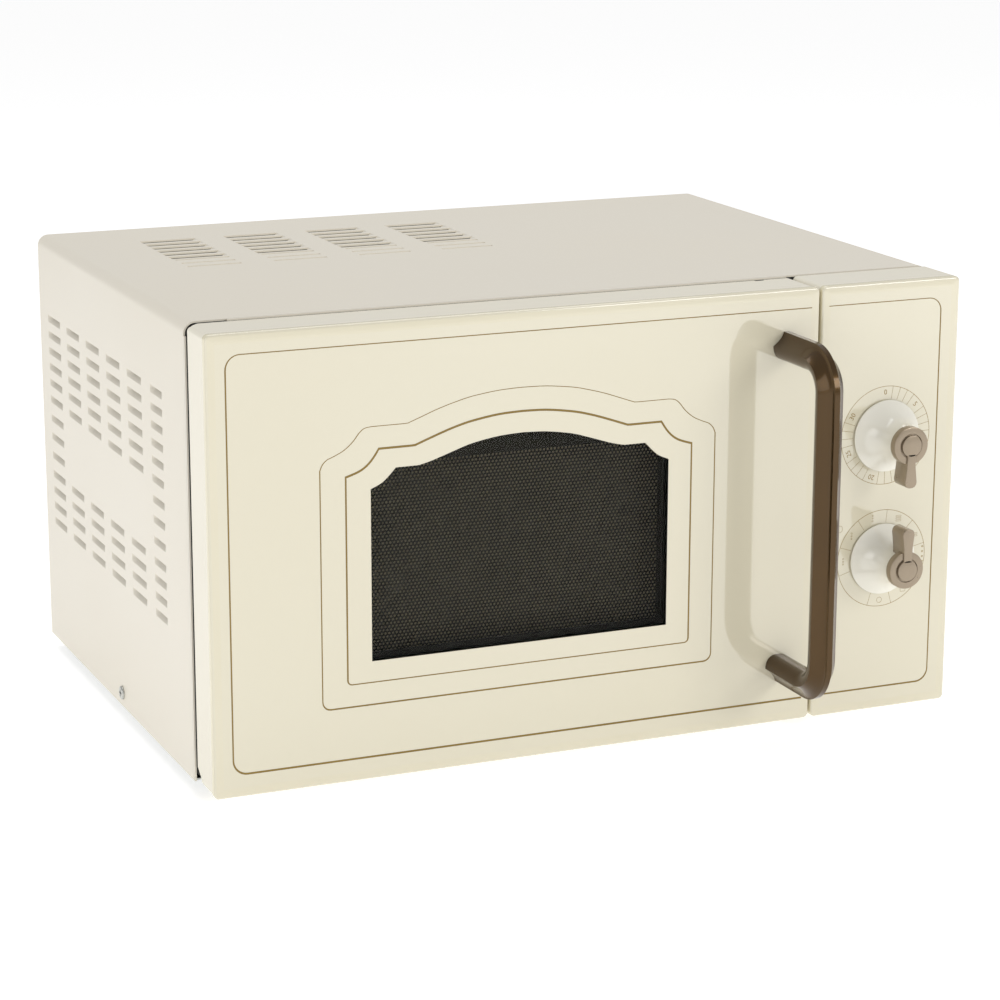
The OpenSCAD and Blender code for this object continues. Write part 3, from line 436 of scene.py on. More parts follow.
# A tongue is made lying flat, then stood up against the side. The left side has a short last column.
tongues, slots = [], []
for side, columns, louvre_long in ((-1, range(short_column), 28), (-1, [short_column], 22),
                                   (1, range(3), 28)):
    standing = pressed_tongue("louvre_tongue", louvre_long, louvre_tall, 4.0, 2.5)
    standing.rotation_euler = (math.radians(90), 0, math.radians(90 * side))
    standing.location = at(0 if side < 0 else 452, high.y - louvre_rear - louvre_long / 2, louvre_tall / 2)
    only(standing)
    apply_place()
    for y, z in louvre_spots(columns):
        slots.append(block("slot", -2 if side < 0 else 450, 2 if side < 0 else 454, y - louvre_long, y,
                           z - louvre_tall / 2, z + louvre_tall / 2))
    tongues += copies(standing, [(0, y - high.y + louvre_rear, z - louvre_tall / 2)
                                 for y, z in louvre_spots(columns)])
    bpy.data.objects.remove(standing)

# Vents in the top: six open rows in four groups, and three more rows that are pressed but not cut.
vent_first, vent_long, vent_step = 51, 35, 53
vent_groups = [(vent_first + vent_step * n, vent_first + vent_long + vent_step * n) for n in range(4)]
vent_rows = [286.5 - 11.8 * n for n in range(6)]
vent_tall, vent_edge = 7.5, 3
groove_rows = [217 - 11.6 * n for n in range(3)]
groove_tall, groove_deep = 3, 0.5
vent = pressed_tongue("vent_tongue", vent_long, vent_tall, 4.6, 2.5)
vent.location = at(vent_first + vent_long / 2, vent_rows[0] + vent_edge - vent_tall / 2, high.z)
only(vent)
apply_place()
for x0, x1 in vent_groups:
    for y in vent_rows:
        slots.append(block("slot", x0, x1, y + vent_edge - vent_tall, y + vent_edge, high.z - 3, high.z + 3))
        tongues += copies(vent, [(x0 - vent_first, y - vent_rows[0], 0)])
    for y in groove_rows:
        slots.append(block("groove", x0 + 1, x1 - 1, y, y + groove_tall, high.z - groove_deep, high.z + 1))
bpy.data.objects.remove(vent)

def drill(spot, radius, deep, facing, sides=24):
    """A cutter for a round hole; facing turns its axis about X or Y."""
    only()
    bpy.ops.mesh.primitive_cylinder_add(vertices=sides, radius=radius / 1000, depth=deep / 1000,
                                        location=spot,
                                        rotation=facing)
    return bpy.context.object


fore_and_aft, sideways = (math.radians(90), 0, 0), (0, math.radians(90), 0)
screw_y, screw_z = 175, 8
for x in (0, 452):
    slots.append(drill(at(x, screw_y, screw_z), 2, 8, sideways))
rear_screws = [(8, 60), (8, 195), (444, 60), (444, 195), (226, 248)]
rear_holes = [drill(at(x, 334, z), 2, 8, fore_and_aft) for x, z in rear_screws]
cut(cover, slots)

# The rear flange stands just inside the rear edge and follows the two bends.
flange_in, flange_wide = 0.6, 14
turns = [math.radians(15 * n) for n in range(7)]
left_bend = [(bend - (bend - flange_in) * math.cos(t), high.z - bend + (bend - flange_in) * math.sin(t))
             for t in turns]
right_bend = [(high.x - x, z) for x, z in reversed(left_bend)]
flange = slab("flange", [(flange_in, 0)] + left_bend + right_bend + [
    (high.x - flange_in, 0), (high.x - flange_wide, 0), (high.x - flange_wide, high.z - flange_wide),
    (flange_wide, high.z - flange_wide), (flange_wide, 0)], 333, 334)
cut(flange, rear_holes)
# The front edge is folded forward into narrow lips beside and above the door.
lip = block("lip", 0, sheet, low.y, front_edge + 0.2, low.z, high.z - bend - sheet)
top_lip = block("lip", 24, 358, low.y + 0.3, front_edge + 0.2, high.z - sheet, high.z)
cover = join([cover, lip, top_lip, flange] + tongues, "cover_shell")
smooth_by(35)
belongs(cover, "oven", cream_paint, "painted_cream", "outer_cover")


# ---- Screws of the casing -------------------------------------------------------------------
# Zinc-plated pan-head screws with a cross recess, two through the sides and five through the
# rear edge.
def recessed_screw(name, spot, facing, head=4.0, tall=1.5, shank=1.8, long=5.0):
    """A pan-head screw whose head sits on spot and faces the axis given, with a cross in its head."""
    only()
    bpy.ops.mesh.primitive_cylinder_add(vertices=32, radius=head / 1000, depth=tall / 1000,
                                        location=(0, 0, tall / 2000))
    screw = bpy.context.object
    apply_place()
    set_mode("EDIT")
    pick(screw, "FACE", lambda p, f: f.normal.z > 0.9)
    bpy.ops.mesh.bevel(offset=tall * 0.6 / 1000, segments=4)
    pick(screw, "FACE", lambda p, f: f.normal.z < -0.9)
    bpy.ops.mesh.inset(thickness=(head - shank) / 1000)
    push(z=-long)
    set_mode("OBJECT")
    bars = []
    for turn in (0, 90):
        only()
        bpy.ops.mesh.primitive_cube_add(size=1, location=(0, 0, tall / 1000),
                                        scale=(head * 1.1 / 1000, 0.0009, 0.002),
                                        rotation=(0, 0, math.radians(turn)))
        apply_place()
        bars.append(bpy.context.object)
    for bar in bars:
        refine(screw, "BOOLEAN", operation="DIFFERENCE", object=bar, solver="EXACT")
        bpy.data.objects.remove(bar)
    screw.rotation_euler = Vector(facing).to_track_quat("Z", "Y").to_euler()
    screw.location = at(*spot)
    screw.name = screw.data.name = name
    only(screw)
    apply_place()
    smooth_by(40)
    return screw


bright_zinc = finish("bright_zinc", "C9C9C4", "AEB0AC", 0.22, 0.38, drift_scale=60, grain_scale=1200,
                     metallic=1.0)
casing_screws = [recessed_screw("s", (0, screw_y, screw_z), (-1, 0, 0)),
                 recessed_screw("s", (452, screw_y, screw_z), (1, 0, 0))]
casing_screws += [recessed_screw("s", (x, 334, z), (0, 1, 0)) for x, z in rear_screws]
belongs(join(casing_screws, "casing_screws"), "oven", bright_zinc, "bright_steel", "cover_screws")


# ---- Back panel, base plate and feet --------------------------------------------------------
# Galvanised sheet with pressed air slots, screwed inside the cover's rear edge and along its
# sides. Four rubber feet are pegged into the base.
def tidy_copy(node, name, edge=0.4, segments=2, smooth=35):
    """A copy of a frame part with its triangles merged and its hard edges rounded."""
    only()
    source = frame["nodes"][node]
    source.select_set(True)
    bpy.context.view_layer.objects.active = source
    bpy.ops.object.duplicate()
    piece = bpy.context.object
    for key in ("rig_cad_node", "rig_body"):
        del piece[key]
    piece.name = piece.data.name = name
    bpy.ops.object.parent_clear(type="CLEAR_KEEP_TRANSFORM")
    set_mode("EDIT")
    pick_all()
    bpy.ops.mesh.remove_doubles(threshold=5e-6)
    bpy.ops.mesh.dissolve_limited(angle_limit=math.radians(1))
    set_mode("OBJECT")
    if edge:
        refine(piece, "BEVEL", width=edge / 1000, segments=segments, limit_method="ANGLE",
               angle_limit=math.radians(40), use_clamp_overlap=True)
    smooth_by(smooth)
    return refine(piece, "WEIGHTED_NORMAL", keep_sharp=True)


def dressed(node, name, body, material, slot, edge=0.4, segments=2, smooth=35):
    """A rounded copy of a frame part, with its finish and body, that stands for that part. The slot is not
    used.
    """
    return belongs(tidy_copy(node, name, edge, segments, smooth), body, material, slot, node)


galvanised = finish("galvanised_sheet", "B9BBB8", "A9ADAC", 0.36, 0.48, drift_scale=90, grain_scale=260,
                    grain_share=0.3, metallic=1.0, relief=0.1)
dressed("back_panel", "back_sheet", "oven", galvanised, "zinc_steel", 0.25)
dressed("base_plate", "base_sheet", "oven", galvanised, "zinc_steel", 0.25)

rubber = finish("foot_rubber", "2B2A28", "383734", 0.7, 0.85, drift_scale=30, grain_scale=2400, relief=0.5,
                depth=0.0002)
dressed("feet", "rubber_feet", "oven", rubber, "black_rubber", 0.9, 3)
dressed("cord_gland", "cord_bush", "oven", rubber, "black_rubber", 0.5, 3)


# ---- Front frame, cavity and what is seen inside it -----------------------------------------
# A steel plate round the opening, welded to the cavity, which is enamelled pale grey. The plate is painted
# black as painted shade, so that the narrow gaps round the door read dark.
# A mica sheet covers the waveguide's mouth.
# The plate's black is painted shade: it darkens the narrow gaps round the door, where the plate lies in deep
# shade.
gap_shade_paint = finish("front_plate_shade_black", "1F1D1A", "292724", 0.34, 0.5, drift_scale=14, grain_scale=1800)
dressed("front_frame", "front_plate", "oven", gap_shade_paint, "black_steel", 0.3)

enamel = finish("cavity_enamel", "C9C8C2", "B7B7B1", 0.3, 0.44, drift_scale=600, grain_scale=2600,
                grain_share=0.6, relief=0.35, depth=0.00015)
dressed("cavity_liner", "cavity_walls", "oven", enamel, "cavity_enamel", 0.3)

mica = finish("mica_sheet", "B79E7C", "8F7A5B", 0.28, 0.5, drift_scale=140, grain_scale=500, grain_share=0.4,
              stretch=(1, 2.4, 1), coat=0.3)
dressed("mica_cover", "mica_window", "oven", mica, "mica", 0.2)


# ---- Turntable ------------------------------------------------------------------------------
# A clear glass tray turns on a three-armed coupler and runs on a ring with three rollers.
def turned(name, centre, profile, steps=64, smooth=30):
    """A solid turned round an upright axis through centre, from radius and height pairs."""
    points = [Vector(centre) + Vector((r / 1000, 0, z / 1000)) for r, z in profile]
    piece = wire(name, points)
    pick_all()
    bpy.ops.mesh.spin(steps=steps, angle=math.tau, center=centre, axis=(0, 0, 1))
    pick_all()
    bpy.ops.mesh.remove_doubles(threshold=2e-6)
    return settle(piece, smooth)


clear_glass = finish("tray_glass", "F2FBF8", "E6F4F0", 0.0, 0.03, drift_scale=20, grain_scale=400,
                     relief=0.05,
                     transmission_weight=0.8, alpha=0.35, ior=1.47)
low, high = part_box("glass_tray")
middle = (low + high) / 2
radius = (high.x - low.x) * 500
dish = turned("turntable_tray", (middle.x, middle.y, high.z - 0.013),
              [(0, 0), (radius - 14, 0), (radius - 9, 1.2), (radius - 5, 4.6), (radius - 2, 10),
               (radius - 0.3, 12),
               (radius - 0.3, 12.8), (radius - 1.3, 13), (radius - 4, 11.4), (radius - 8, 6.6),
               (radius - 12, 4.6),
               (radius - 17, 4), (14.5, 4), (0, 4)], steps=96)
ribs = tidy_copy("glass_tray", "tray_hub", 0)
set_mode("EDIT")
pick_all()
bpy.ops.mesh.bisect(plane_co=(0, 0, high.z - 0.013), plane_no=(0, 0, 1), clear_outer=True, use_fill=True)
set_mode("OBJECT")
tray = join([dish, ribs], "turntable_tray")
belongs(tray, "tray", clear_glass, "clear_glass", "glass_tray")

acetal = finish("white_acetal", "E9E8E2", "DEDCD4", 0.3, 0.42, drift_scale=30, grain_scale=1500)
dressed("turntable_coupler", "tray_coupler", "coupler", acetal, "white_plastic", 0.5, 3)
dressed("roller_ring", "roller_support", "roller_ring", acetal, "white_plastic", 0.5, 3)
for n in (1, 2, 3):
    belongs(tidy_copy(f"roller_wheel_{n}", f"roller_{n}", 0.6, 3), f"wheel_{n}", acetal, "white_plastic",
            f"roller_wheel_{n}")


# ---- Control panel --------------------------------------------------------------------------
# A moulded cream housing behind a 4 mm glass plate. The glass is printed cream from behind, with
# thin gold lines, and its front edges are ground round.
cream_plastic = finish("cream_plastic", "EEE9DA", "E8E2D0", 0.26, 0.38, drift_scale=8, grain_scale=1600,
                       relief=0.12)
dressed("panel_housing", "panel_case", "oven", cream_plastic, "cream_plastic", 0.8, 3)

glass_cream = finish("printed_cream_glass", "DDD7C1", "D9D1B8", 0.045, 0.075, drift_scale=5, grain_scale=300,
                     grain_share=0.15, relief=0.02, coat=1.0, coat_roughness=0.02, coat_ior=1.65)
glass_border = finish("glass_border", "DFD8C0", "D8D0B5", 0.05, 0.09, drift_scale=14, grain_scale=300,
                      grain_share=0.15, relief=0.02, coat=1.0, coat_roughness=0.02, coat_ior=1.65)
glass_edge = finish("ground_glass_edge", "E8E1C8", "DBD3B5", 0.12, 0.2, drift_scale=60, grain_scale=900,
                    coat=0.5)
border_wide = 5.4


def rounded(x0, x1, z0, z1, r, steps=8):
    """Outline of a rectangle with round corners, across and up."""
    return [(cx + r * math.cos(math.radians(start + 90 * n / steps)),
             cz + r * math.sin(math.radians(start + 90 * n / steps)))
            for cx, cz, start in ((x1 - r, z0 + r, -90), (x1 - r, z1 - r, 0), (x0 + r, z1 - r, 90),
                                  (x0 + r, z0 + r, 180))
            for n in range(steps + 1)]


def glass_plate(name, x0, x1, z0, z1, thick):
    """A glass plate with round corners, a ground front edge and an unprinted border in its front face."""
    plate = slab(name, rounded(x0, x1, z0, z1, 3), 0, thick)
    set_mode("EDIT")
    pick(plate, "EDGE", lambda p, e: p.y < 0.1)
    bpy.ops.mesh.bevel(offset=0.0014, segments=4)
    for x, z, across in ((x0 + border_wide, 0, 1), (x1 - border_wide, 0, 1), (0, z0 + border_wide, 0),
                         (0, z1 - border_wide, 0)):
        pick_all()
        bpy.ops.mesh.bisect(plane_co=at(x, 0, z), plane_no=(across, 0, 1 - across))
    set_mode("OBJECT")
    smooth_by(40)
    return plate


def edge_finish(plate, x0, x1, z0, z1, thick):
    """Gives the rim and the border their own finishes."""
    plate.data.materials.append(glass_edge)
    plate.data.materials.append(glass_border)
    for face in plate.data.polygons:
        x, y, z = (face.center - corner) * 1000
        if abs(face.normal.y) < 0.5 and 0.2 < y < thick - 0.1:
            face.material_index = 1
        elif face.normal.y < -0.99 and min(x - x0, x1 - x, z - z0, z1 - z) < border_wide:
            face.material_index = 2


glass_thick = (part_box("panel_glass")[1].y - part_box("panel_glass")[0].y) * 1000
low, high = box_mm("panel_glass")
plate = glass_plate("panel_plate", low.x, high.x, low.z, high.z, glass_thick)
knob_axes = {}
for knob in ("timer_knob", "power_knob"):
    a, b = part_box(knob)
    knob_axes[knob] = ((a + b) / 2 - corner) * 1000
cut(plate, [drill(at(axis.x, 2, axis.z), 4, 20, fore_and_aft, 48) for axis in knob_axes.values()])
belongs(plate, "oven", glass_cream, "cream_glass", "panel_glass")
edge_finish(plate, low.x, high.x, low.z, high.z, glass_thick)

gold = finish("gold_line", "8C7020", "6C5512", 0.3, 0.4, drift_scale=25, grain_scale=1200, metallic=0.2,
              coat=0.6)
line_rise = 0.04


def line_round(name, outline, width, keep=None, shift=(0, 0)):
    """A raised line just inside an outline: the face inset by the width, with its middle taken away.
    Shift moves the inner edge, which makes one side thicker. Keep is the x where the line ends and which
    way it is cut off there, 1 for what is right of it and -1 for what is left."""
    line = outline_face(name, [at(x, 0, z) for x, z in outline])
    bpy.ops.mesh.inset(thickness=width / 1000)
    bpy.ops.transform.translate(value=(shift[0] / 1000, 0, shift[1] / 1000))
    bpy.ops.mesh.delete(type="FACE")
    pick_all()
    if keep:
        bpy.ops.mesh.bisect(plane_co=at(keep[0], 0, 0), plane_no=(keep[1], 0, 0), clear_outer=True)
        pick_all()
    push(y=-line_rise)
    return settle(line)


def bar_line(name, ends, width):
    """A straight raised line between two points across and up."""
    (x0, z0), (x1, z1) = ends
    long = math.hypot(x1 - x0, z1 - z0) or 0.01
    px, pz = -(z1 - z0) / long * width / 2, (x1 - x0) / long * width / 2
    line = outline_face(name, [at(x0 + px, 0, z0 + pz), at(x0 - px, 0, z0 - pz), at(x1 - px, 0, z1 - pz),
                               at(x1 + px, 0, z1 + pz)])
    push(y=-line_rise)
    return settle(line)


border = line_round("panel_border", rounded(350, 440.3, 12.6, 242.8, 8), 0.75, (367, -1), (0, 0.25))
belongs(border, "oven", gold, "cream_glass")

dial_gold = finish("dial_gold", "9C8040", "866A30", 0.35, 0.45, drift_scale=25, grain_scale=1200,
                   metallic=0.2,
                   coat=0.5)
ring_r, tick_r, mark_r, numeral_r = 29, 21.5, 25.2, 25.3


def round_dial(axis, z):
    """The dial's outer ring as a thin flat band."""
    only()
    bpy.ops.mesh.primitive_circle_add(vertices=128, radius=ring_r / 1000, fill_type="NGON",
                                      location=at(axis.x, 0, z), rotation=(math.radians(90), 0, 0))
    ring = bpy.context.object
    set_mode("EDIT")
    pick_all()
    bpy.ops.mesh.inset(thickness=0.00028)
    bpy.ops.mesh.delete(type="FACE")
    pick_all()
    push(y=-line_rise)
    return settle(ring)


def around(axis, z, turn, r):
    """A point at radius r, turned clockwise from the top."""
    a = math.radians(turn)
    return axis.x + r * math.sin(a), z + r * math.cos(a)


def numeral(words, axis, z, turn, r, tall):
    """A number standing on the circle of radius r, its foot towards the middle."""
    x, up = around(axis, z, turn, r)
    only()
    bpy.ops.object.text_add(location=(0, 0, 0))
    text = bpy.context.object
    text.data.body = words
    text.data.size = tall / 1000
    text.data.align_x = "CENTER"
    text.data.align_y = "CENTER"
    text.data.extrude = line_rise / 2000
    text.data.resolution_u = 3
    bpy.ops.object.convert(target="MESH")
    text = bpy.context.object
    text.rotation_euler = (math.radians(90), math.radians(turn), 0)
    text.location = at(x, -line_rise / 2, up)
    apply_place()
    return text


# Timer dial: thirty minutes over most of a turn, a number at every fifth.
axis = knob_axes["timer_knob"]
marks = [round_dial(axis, axis.z)]
for minute in range(31):
    turn = -2 + 10.07 * minute
    if minute % 5:
        marks.append(bar_line("tick", (around(axis, axis.z, turn, tick_r),
                                       around(axis, axis.z, turn, ring_r)), 0.2))
    else:
        marks.append(numeral(str(minute), axis, axis.z, turn, numeral_r, 4.2))
belongs(join(marks, "timer_dial"), "oven", dial_gold, "cream_glass")

# Power dial: nine sectors with simple marks.
axis = knob_axes["power_knob"]
marks = [round_dial(axis, axis.z)]
for turn in (6, 44, 77, 121, 165, 197, 254, 288, 326):
    marks.append(bar_line("tick", (around(axis, axis.z, turn, tick_r), around(axis, axis.z, turn, ring_r)),
                          0.2))
for step, turn in enumerate((25, 60, 99)):
    x, z = around(axis, axis.z, turn, mark_r)
    for n in range(3 - step):
        marks.append(line_round("mark", rounded(x - 1.8, x + 1.8, z - 1.8 + n * 1.3, z - 0.9 + n * 1.3, 0.3,
                                                2), 0.16))
for n, turn in enumerate((143, 181)):
    x, z = around(axis, axis.z, turn, mark_r)
    marks.append(line_round("mark", rounded(x - 1.7, x + 1.7, z - 1.7, z + 1.7, 1.6 if n else 0.4, 5), 0.2))
for turn in (271, 307, 345):
    for n in (-1, 0, 1):
        x, z = around(axis, axis.z, turn, mark_r)
        marks.append(line_round("mark", rounded(x - 0.5, x + 0.5, z - 0.5 + n * 1.6, z + 0.5 + n * 1.6, 0.45,
                                                3), 0.2))
marks.append(line_round("drop", rounded(377, 380, 109.6, 113.4, 1.45, 5), 0.2))
for z in (86, 89, 92, 95):
    marks.append(line_round("mark", rounded(433, 434.2, z, z + 1.2, 0.55, 3), 0.3))
belongs(join(marks, "power_dial"), "oven", dial_gold, "cream_glass")


# ---- Knobs ----------------------------------------------------------------------------------
# Trumpet-shaped cream mouldings pushed onto steel shafts, each with a pressed-on cap of taupe
# bronze whose raised disc runs out into a lever.
def turned_forward(name, axis, profile, steps=96, smooth=40):
    """A solid turned round the knob's axis, from radius and distance in front of the glass."""
    points = [at(axis.x + r, -d, axis.z) for r, d in profile]
    piece = wire(name, points)
    pick_all()
    bpy.ops.mesh.spin(steps=steps, angle=math.tau, center=at(axis.x, 0, axis.z), axis=(0, 1, 0))
    pick_all()
    bpy.ops.mesh.remove_doubles(threshold=2e-6)
    return settle(piece, smooth)


knob_cream = finish("knob_cream_gloss", "F1EEE2", "ECE8DA", 0.1, 0.16, drift_scale=12, grain_scale=900,
                    grain_share=0.2, relief=0.05, coat=0.8, coat_roughness=0.04)
taupe = finish("taupe_bronze_lacquer", "A39480", "8F806B", 0.26, 0.36, drift_scale=60, grain_scale=2200,
               grain_share=0.5, metallic=0.55, relief=0.15, coat=0.35, coat_roughness=0.15)
steel = finish("turned_steel", "BDBDBA", "A4A5A4", 0.24, 0.4, drift_scale=120, grain_scale=900, metallic=1.0)

foot_gap, cap_thick, lip, lever_deep = 0.8, 5.0, 0.5, 13.0
for knob, cap_node, shaft_node, body, way in (
        ("timer_knob", "timer_knob_cap", "timer_shaft", "timer_control", -1),
        ("power_knob", "power_knob_cap", "selector_shaft", "power_control", 1)):
    axis = knob_axes[knob]
    low, high = box_mm(knob)
    wide = (high.x - low.x) / 2
    reach = -low.y
    neck = 8.6
    flare = [(neck + (wide - neck) * (1 - t / 20) ** 2.6, foot_gap + 1.1 + (reach - foot_gap - 1.1) * t / 20)
             for t in range(1, 21)]
    trumpet = turned_forward(knob, axis, [(0, foot_gap), (wide - 0.6, foot_gap),
                                          (wide - 0.15, foot_gap + 0.15),
                                          (wide, foot_gap + 0.6),
                                          (wide - 0.1, foot_gap + 1.1)] + flare + [(0, reach)])
    trumpet.name = trumpet.data.name = knob.replace("knob", "trumpet")
    belongs(trumpet, body, knob_cream, "cream_plastic", knob)

    low, high = box_mm(cap_node)
    front = -low.y
    cap_r = (high.x - low.x) / 2
    disc_r, groove, rise = 6.2, 0.7, 1.2
    face = front - rise
    cap = turned_forward("cap", axis, [
        (0, face - cap_thick), (cap_r - lip, face - cap_thick), (cap_r, face - cap_thick + lip),
        (cap_r, face - lip),
        (cap_r - lip * 0.3, face - lip * 0.3), (cap_r - lip, face), (disc_r + groove + 0.2, face),
        (disc_r + groove, face - 0.25), (disc_r + groove * 0.9, face - 0.7), (disc_r, face - 0.7),
        (disc_r, front - 0.35), (disc_r - 0.1, front - 0.1), (disc_r - 0.35, front), (0, front)])
    tip = max(high.z - axis.z, axis.z - low.z)
    neck_half, tip_half = 2.7, 3.8
    shape = [(-neck_half, 4.5), (-neck_half, 10.5), (-2.85, 13), (-3.3, 17), (-tip_half, tip - 3.6),
             (-3.55, tip - 2.0), (-2.6, tip - 0.7), (-1.3, tip - 0.1), (0, tip)]
    shape += [(-x, z) for x, z in reversed(shape[:-1])]
    lever = slab("lever", [(axis.x + x, axis.z + way * z) for x, z in shape], -front, lever_deep - front)
    set_mode("EDIT")
    pick(lever, "EDGE", lambda p, e: abs(p.y + front) < 0.01 or abs(p.y + front - lever_deep) < 0.01)
    bpy.ops.mesh.bevel(offset=0.00045, segments=3)
    set_mode("OBJECT")
    smooth_by(40)
    cap = join([cap, lever], cap_node.replace("knob_cap", "lever_cap"))
    belongs(cap, body, taupe, "taupe_bronze", cap_node)
    belongs(tidy_copy(shaft_node, shaft_node.replace("shaft", "spindle"), 0.4), body, steel, "bright_steel",
            shaft_node)


# ---- Door: printed glass --------------------------------------------------------------------
# A 4 mm glass plate over the whole door, printed cream on its back except for an arched window.
# Gold lines follow the window twice and the door's edge once.
def arch(half, mid):
    """A closed outline from its left half, given as distances left of the middle and heights."""
    return [(mid - x, z) for x, z in half] + [(mid + x, z) for x, z in reversed(half) if x > 0.01]


def flowing(points, steps=4):
    """Points on a smooth curve that passes through the given ones."""
    made = []
    ends = [points[0]] + points + [points[-1]]
    for a, b, c, d in zip(ends, ends[1:], ends[2:], ends[3:]):
        for n in range(steps):
            t = n / steps
            made.append(tuple(0.5 * (2 * q + (r - p) * t + (2 * p - 5 * q + 4 * r - s) * t * t +
                                     (3 * q - p - 3 * r + s) * t ** 3) for p, q, r, s in zip(a, b, c, d)))
    return made + [points[-1]]


def quarter(x, z, r, start, steps=5):
    """Points of a quarter circle about (x, z); start is the first point's angle from the left side."""
    return [(x + r * math.cos(math.radians(start + 90 * n / steps)),
             z + r * math.sin(math.radians(start + 90 * n / steps)))
            for n in range(steps + 1)]


def spaced(points):
    """The points without those that all but repeat the one before."""
    return [p for n, p in enumerate(points) if n == 0 or math.dist(p, points[n - 1]) > 0.05]


window_mid = 179.3
window_half = [(0, 67.25), (88.5, 67.25),
               (88.5, 163.5)] + flowing([(88.5, 163.5), (82.3, 166.3), (77.8, 170.1), (74, 174.1)]) + \
    [(62, 174.1)] + flowing([(60.5, 174.2), (54.5, 175.6), (49.3, 177.2), (39.3, 180.5), (29.3, 183.5),
                             (14, 186), (0, 186.75)])
window_half = spaced(window_half)
inner_half = [(0, 55)] + quarter(100.1, 58, 3, -90) + \
    [(103.1, 171.75)] + flowing([(103.1, 171.75), (94.3, 174.8), (88.6, 179.3),
                                 (83.9, 185.9)]) + [(65, 185.9)] + \
    flowing([(63, 186), (49.3, 190.9), (39.3, 194.1), (29.3, 196.5), (14, 198.7), (0, 199.25)])
inner_half = spaced(inner_half)
outer_half = [(0, 42.25)] + quarter(112.5, 47.25, 5, -90) + [(117.5, 175)] + \
    flowing([(117.5, 176), (116, 179.3), (113.3, 181.9), (109.6, 183.4), (103.6, 186.3), (98.6, 190.5),
             (95.1, 194.8),
             (92, 197.2), (88, 197.9)]) + [(69, 197.9)] + \
    flowing([(67, 198), (59.3, 200.8), (49.3, 204.4), (39.3, 207.3), (29.3, 209.6), (14, 211.5), (0, 212)])
outer_half = spaced(outer_half)

low, high = box_mm("door_glass")
door_wide, door_high, glass_thick = high.x, high.z, high.y
plate = glass_plate("door_plate", 0, door_wide, 0, door_high, glass_thick)
opening = slab("opening", arch(window_half, window_mid), -2, glass_thick + 2)
cut(plate, [opening])
smooth_by(40)
belongs(plate, "door", glass_cream, "cream_glass", "door_glass")
edge_finish(plate, 0, door_wide, 0, door_high, glass_thick)

window_glass = finish("window_glass", "F4F4EE", "EFEFE8", 0.0, 0.02, drift_scale=20, grain_scale=400,
                      relief=0.02,
                      transmission_weight=1.0, ior=1.15)
pane = slab("door_window", arch(window_half, window_mid), 0.02, glass_thick)
belongs(pane, "door", window_glass, "cream_glass")

lines = [line_round("window_line", arch(outer_half, window_mid), 0.65, shift=(0, 0.25)),
         line_round("window_band", arch(inner_half, window_mid), 0.95, shift=(0, -0.3)),
         line_round("door_line", rounded(10.5, 382, 12.3, 242.8, 8.5), 0.85, (356, 1), (0, 0.3))]
belongs(join(lines, "door_lines"), "door", gold, "cream_glass")


# ---- Door: frame, choke and mesh ------------------------------------------------------------
# A moulded cream tray behind the glass holds a pressed black steel pan. The pan's edge is folded
# into a microwave choke, and its middle is perforated with close-set holes behind a film whose tint is
# painted shade.
dressed("door_frame", "door_tray", "door", cream_plastic, "cream_plastic", 0.7, 3)

black_steel = finish("black_enamelled_steel", "151412", "1D1C19", 0.34, 0.5, drift_scale=20, grain_scale=1300,
                     relief=0.2)
dressed("door_choke", "choke_pan", "door", black_steel, "black_steel", 0.25)

low, high = box_mm("door_screen")
cell_w, cell_h, margin, screen_thick = 2.2, 2.2 * 0.866, 4.0, 0.4
across = int((high.x - low.x - 2 * margin) / cell_w)
x0 = (low.x + high.x) / 2 - across * cell_w / 2
z0, holes_top = 65, 173
up = int((holes_top - z0) / cell_h / 2) * 2
# One cell: a rectangle of sheet with a six-sided hole.
only()
bpy.ops.mesh.primitive_circle_add(vertices=6, radius=0.00078, fill_type="NOTHING",
                                  rotation=(math.radians(90), 0, 0),
                                  location=at(x0 + cell_w / 2, low.y, z0 + cell_h / 2))
cell = bpy.context.object
apply_place()
rim = wire("rim", [at(x0, low.y, z0), at(x0 + cell_w, low.y, z0), at(x0 + cell_w, low.y, z0 + cell_h),
                   at(x0, low.y, z0 + cell_h), at(x0, low.y, z0)])
pick_all()
bpy.ops.mesh.remove_doubles(threshold=1e-6)
set_mode("OBJECT")
apply_place()
cell = join([cell, rim], "mesh_cell")
set_mode("EDIT")
pick_all()
bpy.ops.mesh.bridge_edge_loops()
set_mode("OBJECT")
refine(cell, "ARRAY", count=across, use_relative_offset=False, use_constant_offset=True,
       constant_offset_displace=(cell_w / 1000, 0, 0), use_merge_vertices=True, merge_threshold=1e-6)
second = copies(cell, [(cell_w / 2, 0, cell_h)])[0]
cell = join([cell, second], "mesh_rows")
refine(cell, "ARRAY", count=up // 2, use_relative_offset=False, use_constant_offset=True,
       constant_offset_displace=(0, 0, 2 * cell_h / 1000))
# A plain margin round the holes.
margins = [slab("margin", [(low.x, low.z), (high.x, low.z), (high.x, z0), (low.x, z0)], low.y,
                low.y + screen_thick),
           slab("margin", [(low.x, z0 + up * cell_h), (high.x, z0 + up * cell_h), (high.x, high.z),
                           (low.x, high.z)],
                low.y, low.y + screen_thick),
           slab("margin", [(low.x, z0), (x0 + cell_w / 2, z0), (x0 + cell_w / 2, z0 + up * cell_h),
                           (low.x, z0 + up * cell_h)],
                low.y + 0.05, low.y + screen_thick),
           slab("margin", [(x0 + across * cell_w, z0), (high.x, z0), (high.x, z0 + up * cell_h),
                           (x0 + across * cell_w, z0 + up * cell_h)], low.y + 0.05, low.y + screen_thick)]
refine(cell, "SOLIDIFY", thickness=screen_thick / 1000, offset=-1)
screen = join([cell] + margins, "perforated_screen")
mesh_black = finish("perforated_black", "191712", "211F17", 0.35, 0.5, drift_scale=30, grain_scale=1500,
                    specular_ior_level=0.15)
belongs(screen, "door", mesh_black, "black_steel", "door_screen")
